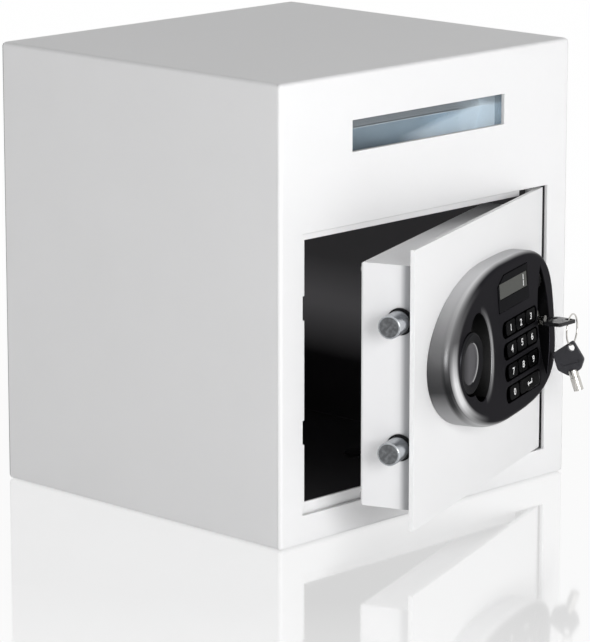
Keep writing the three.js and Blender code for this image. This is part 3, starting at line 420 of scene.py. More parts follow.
def satin_knob(where, rim):
    """The knob's lacquer: a dish painted lighter as sheen that darkens to its left, with a painted highlight line
    along its right rim.
    """
    highlight_width = 0.5 * MM
    highlight_side = 6 * MM
    finish = Finish("satin_knob", metallic=1.0, specular_tint=lacquer_tint)
    point = finish.place(where, ajar)
    across, deep, up = finish.axes(point)
    flake = finish.noise(point, 3200, 1)
    reach = (across * across + up * up) ** 0.5
    # Painted highlight along the right rim, and painted sheen lightening the dish towards its right
    line = reach.near(rim, highlight_width) * (across > highlight_side)
    dish = (reach < rim) * across.ramp(-rim, 0, 0.1)
    dark = finish.blend(dish, (0.02, 0.02, 0.022), (0.15, 0.147, 0.156))
    light = finish.blend(flake, (0.45, 0.45, 0.45), (0.6, 0.6, 0.6))
    finish.set("Base Color", finish.blend(line, dark, light))
    finish.set("Roughness", 0.3 + flake * 0.06)
    finish.bump(flake, 0.01 * MM, 0.2)
    return finish.material


def moulded_black(name, tone=0.012, roughness=0.4, shine=0.15, metallic=0.0):
    """Moulded plastic or rubber with a fine grain."""
    finish = Finish(name, specular_ior_level=shine, metallic=metallic, specular_tint=lacquer_tint)
    point = finish.place()
    grain = finish.noise(point, 2400, 2)
    cloud = finish.noise(point, 50)
    dark = (tone, tone, tone * 1.1)
    finish.set("Base Color", finish.blend(cloud, dark, scaled(dark, 1.5)))
    finish.set("Roughness", roughness - 0.04 + grain * 0.1)
    finish.bump(grain, 0.02 * MM, 0.3)
    return finish.material


def polished_black():
    """The bezel's mirror-like black, with a little haze."""
    finish = Finish("polished_black", metallic=1.0, specular_tint=lacquer_tint)
    haze = finish.noise(finish.place(), 120)
    finish.set("Base Color", finish.blend(haze, (0.008, 0.008, 0.009), (0.012, 0.012, 0.014)))
    finish.set("Roughness", haze * 0.06 + 0.08)
    return finish.material


def display_glass():
    """A dull grey-green display behind a fine grid of dots."""
    dot_rate = 5200.0
    finish = Finish("display_glass", specular_ior_level=0.05)
    point = finish.place(tuple(pin), ajar)
    across, _, up = finish.axes(point)
    dots = (across * dot_rate).sine() * (up * dot_rate).sine()
    finish.set("Base Color", finish.blend(dots * 0.5 + 0.5, (0.048, 0.05, 0.045), (0.062, 0.064, 0.056)))
    finish.set("Roughness", finish.noise(point, 90) * 0.06 + 0.16)
    return finish.material


def bright_nickel(name, metallic):
    """Nickel plate with fine wear."""
    finish = Finish(name, metallic=metallic)
    wear = finish.noise(finish.place(), 420, 3)
    finish.set("Base Color", finish.blend(wear, (0.5, 0.48, 0.45), (0.64, 0.63, 0.6)))
    finish.set("Roughness", wear * 0.14 + 0.1)
    finish.bump(wear, 0.01 * MM, 0.25)
    return finish.material


def circuit_board():
    """Green lacquer with lighter tracks."""
    track_width = 0.12
    finish = Finish("circuit_board", coat_weight=0.4)
    point = finish.place()
    inputs = {"Vector": point, "Scale": 260}
    edge = finish.node("ShaderNodeTexVoronoi", {"feature": "DISTANCE_TO_EDGE"}, inputs)
    finish.set("Base Color", finish.blend(edge > track_width, (0.02, 0.16, 0.06), (0.012, 0.09, 0.035)))
    finish.set("Roughness", finish.noise(point, 80) * 0.2 + 0.4)
    return finish.material


def cell_wrap():
    """A plain battery sleeve: dark with a lighter band at the end next to the hinge."""
    band_edge = -101 * MM
    finish = Finish("cell_wrap")
    point = finish.place(tuple(pin), ajar)
    across = finish.axes(point)[0]
    finish.set("Base Color", finish.blend(across > band_edge, (0.05, 0.055, 0.06), (0.32, 0.3, 0.26)))
    finish.set("Roughness", finish.noise(point, 300) * 0.12 + 0.3)
    return finish.material


def printed_white():
    """The legends' ink."""
    finish = Finish("printed_white")
    cover = finish.noise(finish.place(), 900)
    finish.set("Base Color", finish.blend(cover, (0.7, 0.7, 0.7), (0.86, 0.86, 0.86)))
    finish.set("Roughness", cover * 0.1 + 0.4)
    return finish.material


wrap_low, wrap_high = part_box("body_wrap")
plate_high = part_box("front_plate")[1]
sheet = 2 * MM
plate_back = plate_high[1] - 0.2 * MM
back_inner = wrap_high[1] + 0.4 * MM


def inside_wrap(x, y, z):
    """Inside the middle of the sheet that is wrapped round the top, sides and floor."""
    wide = x.magnitude() * (1 / (wrap_high[0] - sheet / 2))
    middle = (wrap_low[2] + wrap_high[2]) / 2
    tall = (z - middle).magnitude() * (1 / (wrap_high[2] - middle - sheet / 2))
    return wide.larger(tall) < 1.0


white = powder_coat("white_powder_coat").material
wrap_coat = two_tone_coat("wrap_coat", inside_wrap)
plate_coat = two_tone_coat("front_coat", lambda x, y, z: y > plate_back)
back_coat = two_tone_coat("back_coat", lambda x, y, z: y < back_inner)
zinc = zinc_plate("bright_zinc").material
# Measured from the hinge, so the steel inside the door all has the end's darker tone of painted shade
plain_steel = turned_steel("plain_steel", (0.42, 0.42, 0.43), 0.28, tuple(pin))
charcoal = satin_charcoal()
knob_coat = satin_knob(tuple(swing @ knob_middle), dish_radius)
black_plastic = moulded_black("black_plastic")
black_key = moulded_black("keypad_rubber", tone=0.005, roughness=0.3, shine=0.5, metallic=1.0)
slate_bow = moulded_black("key_bow", tone=0.042, roughness=0.3)
black_bow = moulded_black("black_bow", tone=0.01, roughness=0.18, shine=0.4)
gloss = polished_black()
glass = display_glass()
nickel = bright_nickel("bright_nickel", 1.0)
lock_nickel = bright_nickel("lock_nickel", 0.25)
board = circuit_board()
sleeve = cell_wrap()
ink = printed_white()

slot_finish = {
    "white_paint": white,
    "zinc": zinc,
    "steel": plain_steel,
    "polished_steel": plain_steel,
    "charcoal": charcoal,
    "black_plastic": black_plastic,
    "gloss_black": gloss,
    "display_glass": glass,
    "nickel": nickel,
    "board": board,
    "cell_wrap": sleeve,
}
slot_zinc = chute_zinc()
own_finish = {
    "chute_hood": slot_zinc,
    "chute_cheek_right": slot_zinc,
    "door_pan": pan_coat(),
    "body_wrap": wrap_coat,
    "front_plate": plate_coat,
    "back_plate": back_coat,
    "knob": knob_coat,
    "lock_body": lock_nickel,
    "lock_plug": lock_nickel,
}
slot_of = {part["node"]: part["material_slot"] for part in frame["record"]["subparts"]}
body_of = {
    node: body
    for body, members in frame["record"]["behaviour"]["bodies"].items()
    for node in members
}


def finish_of(node):
    return own_finish.get(node, slot_finish[slot_of[node]])


for node, solid in frame["nodes"].items():
    solid.data.materials.clear()
    solid.data.materials.append(finish_of(node))


# Mesh helpers


def arc_points(middle, radius, start, end, steps):
    angles = [start + (end - start) * step / steps for step in range(steps + 1)]
    return [(middle[0] + radius * math.cos(a), middle[1] + radius * math.sin(a)) for a in angles]


def ellipse_outline(middle, half_width, half_height, steps=FINE):
    angles = [2 * math.pi * step / steps for step in range(steps)]
    return [(middle[0] + half_width * math.cos(a), middle[1] + half_height * math.sin(a)) for a in angles]


def circle_outline(middle, radius, steps=FINE):
    return ellipse_outline(middle, radius, radius, steps)


def rounded_rectangle(low, high, radius, steps=8):
    """A rounded rectangle's outline, anticlockwise from its lower right corner."""
    quarter = math.pi / 2
    middles = [
        (high[0] - radius, low[1] + radius),
        (high[0] - radius, high[1] - radius),
        (low[0] + radius, high[1] - radius),
        (low[0] + radius, low[1] + radius),
    ]
    outline = []
    for turn, middle in enumerate(middles, -1):
        outline += arc_points(middle, radius, turn * quarter, (turn + 1) * quarter, steps)
    return outline


def softened_line(points, radius, steps=4, closed=False):
    """A line of points with each corner rounded."""
    result = []
    count = len(points)
    for index, point in enumerate(points):
        if not closed and index in (0, count - 1):
            result.append(point)
            continue
        corner = Vector(point)
        before = Vector(points[index - 1]) - corner
        after = Vector(points[(index + 1) % count]) - corner
        reach = min(radius, before.length / 2, after.length / 2)
        start = corner + before.normalized() * reach
        end = corner + after.normalized() * reach
        for step in range(steps + 1):
            share = step / steps
            middle = start.lerp(corner, share).lerp(corner.lerp(end, share), share)
            result.append(tuple(middle))
    return result


def vertices_of(geom):
    return [item for item in geom if isinstance(item, bmesh.types.BMVert)]


def prism(outline, low, high):
    """A flat outline given thickness along its third axis."""
    bm = bmesh.new()
    face = bm.faces.new([bm.verts.new((x, y, low)) for x, y in outline])
    raised = bmesh.ops.extrude_face_region(bm, geom=[face])["geom"]
    bmesh.ops.translate(bm, vec=(0, 0, high - low), verts=vertices_of(raised))
    bmesh.ops.recalc_face_normals(bm, faces=bm.faces)
    return bm


def lathe(profile, steps=FINE):
    """A profile of radius and height, spun about its third axis."""
    bm = bmesh.new()
    points = [bm.verts.new((radius, 0, height)) for radius, height in profile]
    edges = [bm.edges.new(pair) for pair in zip(points, points[1:])]
    bmesh.ops.spin(
        bm,
        geom=points + edges,
        cent=(0, 0, 0),
        axis=(0, 0, 1),
        angle=2 * math.pi,
        steps=steps,
        use_merge=True,
    )
    bmesh.ops.remove_doubles(bm, verts=bm.verts, dist=WELD)
    bmesh.ops.recalc_face_normals(bm, faces=bm.faces)
    return bm


def moved(bm, place):
    bmesh.ops.transform(bm, matrix=place, verts=bm.verts)
    return bm


def rounded_edges(bm, chosen, width, segments=3):
    bmesh.ops.bevel(
        bm,
        geom=chosen,
        offset=width,
        affect="EDGES",
        segments=segments,
        profile=0.5,
        material=-1,
        clamp_overlap=True,
    )


def sharp_edges(bm, degrees):
    limit = math.radians(degrees)
    return [edge for edge in bm.edges if edge.is_manifold and edge.calc_face_angle(0) > limit]


def upper_edges(bm, height):
    """A prism's sharp edges that lie over a height."""
    return [edge for edge in sharp_edges(bm, 60) if min(v.co.z for v in edge.verts) > height + WELD]


def copied(node):
    """A merged copy of a solid's loose triangles, with its flat faces made whole."""
    bm = bmesh.new()
    bm.from_mesh(frame["nodes"][node].data)
    bmesh.ops.remove_doubles(bm, verts=bm.verts, dist=WELD * 10)
    bmesh.ops.dissolve_limit(bm, angle_limit=math.radians(0.6), verts=bm.verts, edges=bm.edges)
    return bm


def mesh_object(name, bm, finish, crease=38):
    for face in bm.faces:
        face.smooth = True
    for edge in sharp_edges(bm, crease):
        edge.smooth = False
    mesh = bpy.data.meshes.new(name)
    bm.to_mesh(mesh)
    bm.free()
    mesh.materials.clear()
    mesh.materials.append(finish)
    made = bpy.data.objects.new(name, mesh)
    bpy.context.scene.collection.objects.link(made)
    return made


def add_piece(name, bm, place, body, finish, replaces=(), crease=38):
    """Puts a finished mesh in its place, shades it and lets it ride on its body."""
    made = mesh_object(name, moved(bm, place), finish, crease)
    weighted = made.modifiers.new("even_shading", "WEIGHTED_NORMAL")
    weighted.keep_sharp = True
    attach(made, body)
    if replaces:
        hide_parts(*replaces)
    return made


def stand_in(node, bm, place=Matrix.Identity(4), crease=38, finish=None):
    """A finer piece that takes a solid's place, body and finish."""
    return add_piece(
        node + "_fine",
        bm,
        place,
        body_of[node],
        finish or finish_of(node),
        (node,),
        crease,
    )


def soften(nodes, width, segments=3, degrees=40, crease=38):
    """The solids themselves with their sharp edges rounded."""
    for node in nodes:
        bm = copied(node)
        rounded_edges(bm, sharp_edges(bm, degrees), width, segments)
        stand_in(node, bm, crease=crease)


def soften_small(nodes):
    soften(nodes, 0.3 * MM, segments=2, degrees=60, crease=50)


# Cabinet, chute, door sheets and inner pieces keep their solids' shapes, with rounded edges

soften(["front_plate", "body_wrap", "back_plate"], 0.5 * MM, segments=2, degrees=60, crease=50)
soften(["lower_jamb", "upper_jamb"], 0.5 * MM, degrees=60)
soften(["door_plate"], 1.2 * MM, segments=4, degrees=60)
soften(["chute_hood", "chute_ramp"], 0.4 * MM, segments=2, degrees=20, crease=60)
soften(["chute_cheek_left", "chute_cheek_right"], 0.3 * MM, segments=2)
soften(["door_pan"], 0.7 * MM, degrees=60)
soften(["pan_cover"], 0.3 * MM, segments=2, degrees=60)
soften(["battery_lid"], 0.3 * MM, segments=2)
soften(["battery_box"], 0.4 * MM, segments=2)
soften_small(["lower_hinge_lug", "upper_hinge_lug", "lower_hinge_pin", "upper_hinge_pin"])
soften_small(["anchor_plug_left", "anchor_plug_right", "carriage_guide", "knob_spindle", "lock_cam"])
soften_small(["solenoid_body", "solenoid_plunger", "bolt_carriage"])
soften(["keypad_board"], 0.2 * MM, segments=2)


# Bolts and bushes

stud_length = 7 * MM
stud_radius = 4 * MM
bolt_rounding = 1.1 * MM
bush_wall = 0.6 * MM
bush_lip = 1.2 * MM


def lying(x, middle):
    """The place of a lathed piece that lies across the door and starts at x."""
    return swing @ Matrix.Translation((x, middle.y, middle.z)) @ Matrix.Rotation(math.pi / 2, 4, "Y")


for which in ("upper", "lower"):
    low, high = corners_in(which + "_bolt", swing)
    bush_low, bush_high = corners_in(which + "_bolt_bush", swing)
    middle = (bush_low + bush_high) / 2
    radius = (high.z - low.z) / 2
    length = high.x - low.x
    line = [
        (0, 0),
        (radius, 0),
        (radius, length - stud_length),
        (stud_radius, length - stud_length),
        (stud_radius, length),
        (0, length),
    ]
    laid = lying(low.x, middle)
    polish = turned_steel(which + "_bolt_steel", (0.66, 0.685, 0.715), 0.12, tuple(laid.translation))
    stand_in(which + "_bolt", lathe(softened_line(line, bolt_rounding)), laid, 30, polish)
    inner = radius + FIT
    outer = inner + bush_wall
    flange = (bush_high.z - bush_low.z) / 2
    bush_length = bush_high.x - bush_low.x
    ring = [
        (inner, 0),
        (flange, 0),
        (flange, bush_lip),
        (outer, bush_lip),
        (outer, bush_length),
        (inner, bush_length),
        (inner, 0),
    ]
    stand_in(which + "_bolt_bush", lathe(ring), lying(bush_low.x, middle))


# Knob: a dished disc with a rounded rim, whose bright line is a painted highlight

dish_depth = 2.5 * MM
dish_floor = knob_depth - dish_depth
knob_bevel = 1.4 * MM
shaft_radius = 4.3 * MM
shaft_depth = 8 * MM
knob_line = [
    (0, shaft_depth),
    (shaft_radius, shaft_depth),
    (shaft_radius, 0),
    (knob_radius, 0),
    (knob_radius, knob_depth - knob_bevel),
    (knob_radius - knob_bevel, knob_depth),
    (dish_radius + 1.6 * MM, knob_depth - 0.5 * MM),
    (dish_radius, dish_floor + 0.6 * MM),
    (dish_radius - knob_bevel, dish_floor),
    (0, dish_floor),
]
knob_place = swing @ Matrix.Translation((knob_middle.x, knob_high.y, knob_middle.z)) @ towards_front
stand_in("knob", lathe(softened_line(knob_line, 0.7 * MM, 3), 2 * FINE), knob_place, 30)


# Lock panel: a leaning oval shell with wells for the knob, a finger, the key lock, display and keys

door_front = -173 * MM
panel_thickness = door_front - face_middle.y
panel_base = 0.3 * MM
shoulder = 6 * MM
face_wall = 4.5 * MM
side_wall = 2.5 * MM
left_fullness = 2
right_fullness = 3.4
oval_steps = 200


def oval_place(angle, inset):
    """A point on the oval, moved in from its edge."""
    c = math.cos(angle)
    s = math.sin(angle)
    fullness = right_fullness if c > 0 else left_fullness
    u = math.copysign(abs(c) ** (2 / fullness), c)
    v = math.copysign(abs(s) ** (2 / fullness), s)
    slope_u = math.copysign(abs(u) ** (fullness - 1), u) / panel_half_width
    slope_v = math.copysign(abs(v) ** (fullness - 1), v) / panel_half_height
    steepness = math.hypot(slope_u, slope_v)
    return (
        panel_middle[0] + u * panel_half_width - inset * slope_u / steepness,
        panel_middle[1] + v * panel_half_height - inset * slope_v / steepness,
    )


def oval_dome(profile, left_round=0.0):
    """Rings of the oval at given insets and heights, leaning with the panel's face, bridged and capped.

    A shoulder can be rounder at the left, where the wall is seen.
    """
    bm = bmesh.new()
    before = None
    for inset, height in profile:
        ring = []
        for step in range(oval_steps):
            angle = 2 * math.pi * step / oval_steps
            fuller = left_round * max(0, -math.cos(angle))
            x, z = oval_place(angle, inset * (1 + fuller))
            drop = panel_thickness - height
            level = panel_thickness - drop * (1 + fuller / 2) if drop <= shoulder else height
            lean = (level / panel_thickness) * (face_middle.z - z) * math.tan(face_lean)
            ring.append(bm.verts.new((x, z, level + lean)))
        edges = [bm.edges.new((ring[step - 1], ring[step])) for step in range(oval_steps)]
        if before is None:
            bm.faces.new(ring)
        else:
            bmesh.ops.bridge_loops(bm, edges=before + edges)
        before = edges
    bm.faces.new(ring)
    bmesh.ops.recalc_face_normals(bm, faces=bm.faces)
    return bm


def cut_away(target, tools, finish):
    """Cuts each tool out of a mesh and returns what is left."""
    body = mesh_object("blank", target, finish)
    helpers = []
    for index, tool in enumerate(tools):
        helper = mesh_object(f"tool_{index}", tool, finish)
        cut = body.modifiers.new(f"cut_{index}", "BOOLEAN")
        cut.operation = "DIFFERENCE"
        cut.solver = "EXACT"
        cut.object = helper
        helpers.append(helper)
    depsgraph = bpy.context.evaluated_depsgraph_get()
    result = bmesh.new()
    result.from_object(body, depsgraph)
    for helper in [body, *helpers]:
        mesh = helper.data
        bpy.data.objects.remove(helper)
        bpy.data.meshes.remove(mesh)
    bmesh.ops.remove_doubles(result, verts=result.verts, dist=WELD)
    return result


door_plane = Matrix.Translation((0, door_front, 0)) @ towards_front
face_to_door = door_plane.inverted() @ leaning @ towards_front


def lens_outline(middle, half_width, half_height, steps=28):
    """Two arcs that meet in a point above and below."""
    radius = (half_height**2 + half_width**2) / (2 * half_width)
    offset = radius - half_width
    spread = math.asin(half_height / radius)
    right = arc_points((middle[0] - offset, middle[1]), radius, -spread, spread, steps)
    left = arc_points((middle[0] + offset, middle[1]), radius, math.pi - spread, math.pi + spread, steps)
    return right[:-1] + left[:-1]


shoulder_steps = 8
shoulder_angles = [step * math.pi / 2 / shoulder_steps for step in range(shoulder_steps + 1)]
shoulder_arc = [
    (shoulder * (1 - math.cos(a)), panel_thickness - shoulder * (1 - math.sin(a))) for a in shoulder_angles
]
clear_height = 8 * MM
knob_well_radius = knob_radius + 2 * FIT
knob_at = (knob_middle.x, knob_middle.z)
well_floor = 4 * MM
groove_floor = 10 * MM
lock_radius = 8 * MM


def well(outline, floor):
    """A tool that sinks an outline from clear over the panel down to a floor."""
    return prism(outline, floor, panel_thickness + clear_height)


def knob_well(extra, floor):
    return well(circle_outline(knob_at, knob_well_radius + extra), floor)


def finger_well(extra, floor):
    return well(ellipse_outline(finger_at, finger_half[0] + extra, finger_half[1] + extra), floor)


def groove_well(extra, floor):
    return well(lens_outline(groove_at, groove_half[0] + extra, groove_half[1] + 2 * extra), floor)


key_names = [f"key_{digit}" for digit in range(1, 10)] + ["key_0", "key_enter"]
key_boxes = {name: corners_in(name, on_face) for name in key_names}
key_rows = sorted({round((low.y + high.y) / 2, 5) for low, high in key_boxes.values()})
pill_left = -3 * MM
pill_right = 84 * MM
pill_half_height = 7.5 * MM
pill_depth = 3 * MM
stem_radius = 2.5 * MM
stem_hole_radius = 3 * MM
spindle_hole_radius = 4.5 * MM
bezel_low, bezel_high = corners_in("display_bezel", on_face)
bezel_cut = 8 * MM


def bezel_outline(margin):
    left = bezel_low.x - margin
    right = bezel_high.x + margin
    bottom = bezel_low.y - margin
    top = bezel_high.y + margin
    cut_corner = [(left + 2 * bezel_cut, top), (left, top - bezel_cut)]
    return [(left, bottom), (right, bottom), (right, top), *cut_corner]


def face_tool(outline, low, high=clear_height):
    """A tool laid out on the leaning face, from one height over it to another."""
    return moved(prism(outline, low, high), face_to_door)


def make_panel():
    """The hollow shell with its wells cut out, and then the edges of these rounded."""
    below = -1 * MM
    groove_wall = 2 * MM
    dome = oval_dome([(0, panel_base), *shoulder_arc], 1.0)
    hollow = oval_dome(
        [
            (side_wall, below),
            (side_wall, panel_thickness - shoulder),
            (shoulder, panel_thickness - face_wall),
        ]
    )
    jackets = [
        knob_well(side_wall, 2 * below),
        finger_well(side_wall, 2 * below),
        groove_well(groove_wall, groove_floor - groove_wall),
    ]
    room = cut_away(hollow, jackets, charcoal)
    face_cuts = []
    for row in key_rows:
        foot = (pill_left, row - pill_half_height)
        head = (pill_right, row + pill_half_height)
        face_cuts.append(face_tool(rounded_rectangle(foot, head, pill_half_height - FIT), -pill_depth))
    for low, high in key_boxes.values():
        middle = ((low.x + high.x) / 2, (low.y + high.y) / 2)
        stem_hole = circle_outline(middle, stem_hole_radius, 20)
        face_cuts.append(face_tool(stem_hole, -2 * pill_depth, 1 * MM - pill_depth))
    face_cuts.append(face_tool(bezel_outline(FIT), -pill_depth))
    holes = [
        prism(circle_outline(knob_at, spindle_hole_radius, 32), below, well_floor - below),
        prism(circle_outline(lock_at, lock_radius + FIT, 40), below, groove_floor - below),
    ]
    wells = [knob_well(0, well_floor), finger_well(0, well_floor), groove_well(0, groove_floor)]
    shell = cut_away(dome, [room, *wells, *face_cuts, *holes], charcoal)
    bmesh.ops.dissolve_limit(shell, angle_limit=math.radians(0.5), verts=shell.verts, edges=shell.edges)
    fine_left = pill_left - 12 * MM
    fine_right = pill_right + 0.6 * MM

    def on_plane(vertex):
        return abs((face_to_door.inverted() @ vertex.co).z) < 0.02 * MM

    def face_rims(fine):
        """The edges in the face: the fine ones round keys and display, or the others."""
        rims = [edge for edge in sharp_edges(shell, 30) if all(on_plane(vertex) for vertex in edge.verts)]
        return [e for e in rims if all(fine_left < v.co.x < fine_right for v in e.verts) == fine]

    rounded_edges(shell, face_rims(False), 1.1 * MM, 3)
    rounded_edges(shell, face_rims(True), 0.5 * MM, 2)
    stand_in("lock_panel", shell, swing @ door_plane, 30)


make_panel()


# Display

print_thickness = 0.06 * MM
window_low, window_high = corners_in("display_window", on_face)


def window_outline(margin, radius):
    low = (window_low.x - margin, window_low.y - margin)
    high = (window_high.x + margin, window_high.y + margin)
    return rounded_rectangle(low, high, radius)


bezel = prism(softened_line(bezel_outline(0), 1.5 * MM, 4, True), bezel_low.z, bezel_high.z)
rounded_edges(bezel, upper_edges(bezel, 0), 0.4 * MM)
recess = prism(window_outline(FIT, 0.8 * MM), window_low.z - FIT, clear_height / 2)
stand_in("display_bezel", cut_away(bezel, [recess], gloss), on_face)
pane = prism(window_outline(0, 0.6 * MM), window_low.z, window_high.z)
rounded_edges(pane, upper_edges(pane, window_low.z), 0.15 * MM, 2)
stand_in("display_window", pane, on_face)

# One white upright stroke in two segments lies on the display's window
segment_x = 54 * MM
segment_half_width = 0.75 * MM
segment_half_length = 2.5 * MM
segment_step = 2 * segment_half_length + 0.5 * MM
segment_middle = (window_low.y + window_high.y - segment_step) / 2
outline = rounded_rectangle(
    (segment_x - segment_half_width, segment_middle - segment_half_length),
    (segment_x + segment_half_width, segment_middle + segment_half_length),
    0.5 * MM,
    4,
)
segments = prism(outline, window_high.z, window_high.z + print_thickness)
lower = segments.verts[:] + segments.edges[:] + segments.faces[:]
upper = bmesh.ops.duplicate(segments, geom=lower)["geom"]
bmesh.ops.translate(segments, vec=(0, segment_step, 0), verts=vertices_of(upper))
add_piece("display_stroke", segments, on_face, "door", ink)


# Keypad caps, stems and their printed legends

legend_size = 8.37 * MM
legend_stretch = 1.25
cap_thickness = 1.5 * MM
cap_corner = 3 * MM


def printed(text, middle, top):
    """A digit as a thin raised mesh, centred on a key's cap."""
    curve = bpy.data.curves.new("legend", "FONT")
    curve.body = text
    curve.size = legend_size
    curve.offset = 0.12 * MM
    curve.align_x = "CENTER"
    curve.align_y = "CENTER"
    curve.extrude = print_thickness / 2
    curve.resolution_u = 3
    holder = bpy.data.objects.new("legend", curve)
    bpy.context.scene.collection.objects.link(holder)
    depsgraph = bpy.context.evaluated_depsgraph_get()
    flat = bpy.data.meshes.new_from_object(holder.evaluated_get(depsgraph))
    bm = bmesh.new()
    bm.from_mesh(flat)
    bpy.data.objects.remove(holder)
    bpy.data.curves.remove(curve)
    bpy.data.meshes.remove(flat)
    centre = sum((v.co for v in bm.verts), Vector()) / len(bm.verts)
    bmesh.ops.scale(bm, vec=(legend_stretch, 1, 1), verts=bm.verts)
    return moved(bm, Matrix.Translation((middle[0], middle[1] - centre.y, top + print_thickness / 2)))


def enter_symbol(middle, top):
    """A bent arrow, the usual sign for entering a code."""
    reach = 5.5 * MM
    stroke = 0.65 * MM
    head = 2.4 * MM
    rise = 3.2 * MM
    outline = [
        (-reach, 0),
        (-reach + head, -head),
        (-reach + head, -stroke),
        (reach, -stroke),
        (reach, rise),
        (reach - 2 * stroke, rise),
        (reach - 2 * stroke, stroke),
        (-reach + head, stroke),
        (-reach + head, head),
    ]
    bm = prism(outline, top, top + print_thickness)
    return moved(bm, Matrix.Translation((middle[0], middle[1] - stroke, 0)))


for name, (low, high) in key_boxes.items():
    middle = ((low.x + high.x) / 2, (low.y + high.y) / 2)
    top = high.z
    cap_foot = top - cap_thickness
    cap = prism(rounded_rectangle((low.x, low.y), (high.x, high.y), cap_corner), cap_foot, top)
    rounded_edges(cap, upper_edges(cap, cap_foot), 0.6 * MM, 4)
    stand_in(name, cap, on_face, finish=black_key)
    stem = prism(circle_outline(middle, stem_radius, 20), low.z, cap_foot)
    add_piece(name + "_stem", stem, on_face, body_of[name], black_key)
    legend = enter_symbol(middle, top) if name == "key_enter" else printed(name[-1], middle, top)
    add_piece(name + "_legend", legend, on_face, body_of[name], ink)


# Key lock: flanged barrel and turning plug, lathed about their axis with the lock's front as the top

lock_place = swing @ Matrix.Translation((lock_at[0], 0, lock_at[1])) @ towards_front
plug_tail = -corners_in("lock_plug", swing)[1].y
lock_tail = -lock_high.y
lock_front = -lock_low.y
flange_base = lock_front - 2 * MM
flange_radius = 11 * MM
barrel_bore = 6.3 * MM
plug_radius = barrel_bore - FIT
keyway_radius = 4.8 * MM
keyway_floor = lock_front - 12.3 * MM
core_radius = 2.5 * MM
lock_line = [
    (barrel_bore, lock_tail),
    (lock_radius, lock_tail),
    (lock_radius, flange_base),
    (flange_radius, flange_base),
    (flange_radius, lock_front - 0.5 * MM),
    (flange_radius - 0.5 * MM, lock_front),
    (barrel_bore, lock_front),
    (barrel_bore, lock_tail),
]
stand_in("lock_body", lathe(lock_line, 64), lock_place, 30)
plug_line = [
    (0, plug_tail),
    (plug_radius, plug_tail),
    (plug_radius, lock_front - 0.4 * MM),
    (plug_radius - 0.4 * MM, lock_front),
    (keyway_radius, lock_front),
    (keyway_radius, keyway_floor),
    (core_radius, keyway_floor),
    (core_radius, lock_front - 0.3 * MM),
    (core_radius - 0.3 * MM, lock_front),
    (0, lock_front),
]
stand_in("lock_plug", lathe(plug_line, 64), lock_place, 30)


# Keys: a six-sided bow with a hole near its corner, and a tubular shank

bow_thickness = 3.5 * MM
bow_face = bow_thickness / 2
bow_corners = [(-13.5, 7), (-13.5, -9), (-4.5, -16.5), (8, -13), (14, -5), (9, 14)]
bow_reach = max(y for x, y in bow_corners) * MM
bow_hole = (5.5 * MM, 8 * MM)
ring_radius = 14 * MM
ring_wire = 0.75 * MM
ring_drop = ring_radius * 0.68
ring_room = 0.25 * MM
wire_inner = math.sqrt((ring_radius - ring_wire) ** 2 - (ring_drop + bow_face) ** 2)
wire_outer = math.sqrt((ring_radius + ring_wire) ** 2 - (ring_drop - bow_face) ** 2)
bow_hole_radius = (wire_outer - wire_inner) / 2 + 0.43 * MM
tube_radius = 4.5 * MM
tube_wall = 1.2 * MM
tube_start = 12 * MM
tube_end = 31 * MM
tube_bore = 12 * MM
spare_key_tilt = math.radians(19)


def key_bow():
    """The flat six-sided bow, with its hole and a long recess in each side."""
    recess_depth = 0.8 * MM
    recess = rounded_rectangle((-9 * MM, -6.5 * MM), (9.5 * MM, -2.5 * MM), 1.9 * MM)
    outline = softened_line([(x * MM, y * MM) for x, y in bow_corners], 2.2 * MM, 5, True)
    bm = prism(outline, -bow_face, bow_face)
    rounded_edges(bm, sharp_edges(bm, 60), 0.7 * MM, 3)
    tools = [prism(circle_outline(bow_hole, bow_hole_radius, 40), -bow_thickness, bow_thickness)]
    for side in (-1, 1):
        low, high = sorted((side * (bow_face - recess_depth), side * bow_thickness))
        tools.append(prism(recess, low, high))
    return cut_away(bm, tools, slate_bow)


def key_shank():
    """The tubular shank with a groove near its bow and an open end."""
    groove_radius = tube_radius - 0.35 * MM
    bore_radius = tube_radius - tube_wall
    line = [
        (0, tube_start),
        (tube_radius, tube_start),
        (tube_radius, tube_start + 5 * MM),
        (groove_radius, tube_start + 5.4 * MM),
        (groove_radius, tube_start + 6.4 * MM),
        (tube_radius, tube_start + 6.8 * MM),
        (tube_radius, tube_end - 0.4 * MM),
        (tube_radius - 0.4 * MM, tube_end),
        (bore_radius + 0.2 * MM, tube_end),
        (bore_radius, tube_end - 0.3 * MM),
        (bore_radius, tube_end - tube_bore),
        (0, tube_end - tube_bore),
    ]
    return moved(lathe(line, 56), towards_front)


def key_place(node):
    """Where a key lies, from how its solid was laid out: the bow flat, the shank towards -Y."""
    joint = next(item for item in frame["joints"] if item["name"] == "spare_key_swing")
    ring_bottom = swing.inverted() @ Vector(joint["pos_m"])
    if node == "override_key":
        bow_middle = (lock_at[0], corners_in(node, swing)[0].y + bow_reach, lock_at[1])
        return swing @ Matrix.Translation(bow_middle) @ Matrix.Rotation(math.pi, 4, "X")
    right = Vector((0, -math.cos(spare_key_tilt), math.sin(spare_key_tilt)))
    up = Vector((0, math.sin(spare_key_tilt), math.cos(spare_key_tilt)))
    turn = Matrix((right, up, right.cross(up))).transposed().to_4x4()
    hole = turn @ Vector((*bow_hole, 0))
    hang = bow_hole_radius - ring_wire - ring_room
    return swing @ Matrix.Translation(ring_bottom - Vector((0, 0, hang)) - hole) @ turn


for node, bow_finish in (("override_key", black_bow), ("spare_key", slate_bow)):
    place = key_place(node)
    stand_in(node, key_bow(), place, 35, bow_finish)
    add_piece(node + "_shank", key_shank(), place, body_of[node], nickel, crease=30)

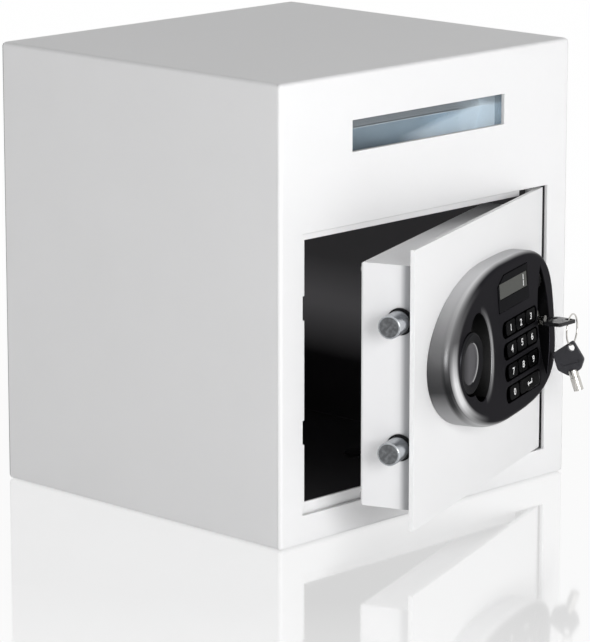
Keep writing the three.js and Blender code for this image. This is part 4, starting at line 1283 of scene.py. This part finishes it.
ring_low, ring_high = corners_in("key_ring", swing)
ring_place = swing @ Matrix.Translation((ring_low + ring_high) / 2) @ towards_front
wire_section = arc_points((ring_radius, 0), ring_wire, math.pi / 2, 5 * math.pi / 2, 14)
stand_in("key_ring", lathe(wire_section), ring_place, 60)


# Battery cells and cover screws

for index in range(1, 5):
    soften_small([f"battery_cell_{index}", f"cover_screw_{index}"])


# Floor, light and camera

plain_light = 0.325


def make_floor():
    """A pale, glossy floor under the safe that turns to plain white further out."""
    half_size = 6
    near_white = 0.66
    far_white = 0.31
    bm = bmesh.new()
    bmesh.ops.create_grid(bm, x_segments=1, y_segments=1, size=half_size)
    finish = Finish("floor", base_color=(0.84, 0.84, 0.84, 1), roughness=0.06, metallic=1.0)
    glow = finish.node("ShaderNodeEmission", {}, {"Color": (1, 1, 1, 1), "Strength": 1.0})
    across, deep, _ = finish.axes(finish.place())
    far = ((across * across + deep * deep) ** 0.5).ramp(0.4, 1.025)
    share = finish.seen_rays() * (far * far_white + near_white)
    mirror = Wire(finish, finish.shader.outputs[0])
    mixed = finish.node("ShaderNodeMixShader", {}, {0: share, 1: mirror, 2: glow})
    finish.plug(finish.tree.nodes["Material Output"].inputs["Surface"], mixed)
    floor = mesh_object("floor", bm, finish.material)
    floor.location.z = -0.2 * MM
    floor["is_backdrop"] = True


def make_world():
    """White where the studio is seen, and a plain level of light for the object."""
    world = bpy.data.worlds.new("studio")
    world.use_nodes = True
    nodes = Nodes(world.node_tree)
    sky = nodes.tree.nodes["Background"]
    sky.inputs["Color"].default_value = (1, 1, 1, 1)
    nodes.plug(sky.inputs["Strength"], nodes.seen_rays() * (1 - plain_light) + plain_light)
    bpy.context.scene.world = world


def aimed(holder, place, towards):
    """Puts a lamp or camera in its place, looking along a direction, upright."""
    holder.location = place
    holder.rotation_mode = "QUATERNION"
    holder.rotation_quaternion = towards.to_track_quat("-Z", "Y")
    bpy.context.scene.collection.objects.link(holder)


def make_lamp(name, place, aim, size, power):
    lamp = bpy.data.lights.new(name, "AREA")
    lamp.shape = "RECTANGLE"
    lamp.size, lamp.size_y = size
    lamp.energy = power
    aimed(bpy.data.objects.new(name, lamp), place, Vector(aim) - Vector(place))


def make_camera():
    """The photograph's view, fitted to the safe's edges in it."""
    azimuth = math.radians(-45.93)
    elevation = math.radians(12.7)
    eye = bpy.data.cameras.new("camera")
    eye.sensor_width = 36
    eye.lens = 209.45
    eye.clip_end = 50
    flat = math.cos(elevation)
    back = Vector((math.sin(azimuth) * flat, -math.cos(azimuth) * flat, math.sin(elevation)))
    holder = bpy.data.objects.new("camera", eye)
    aimed(holder, (-2.3635, -2.2988, 0.8864), -back)
    bpy.context.scene.camera = holder


make_floor()
make_world()
make_lamp("key_light", place=(-1.05, -2.78, 0.9), aim=(0, 0, 0.2), size=(1.4, 1.2), power=53)
make_lamp("side_light", place=(-2.6, -0.4, 0.8), aim=(0, 0, 0.15), size=(1.2, 1.2), power=2.5)
make_camera()
bpy.context.scene.view_settings.view_transform = "Standard"

low, high_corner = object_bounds()
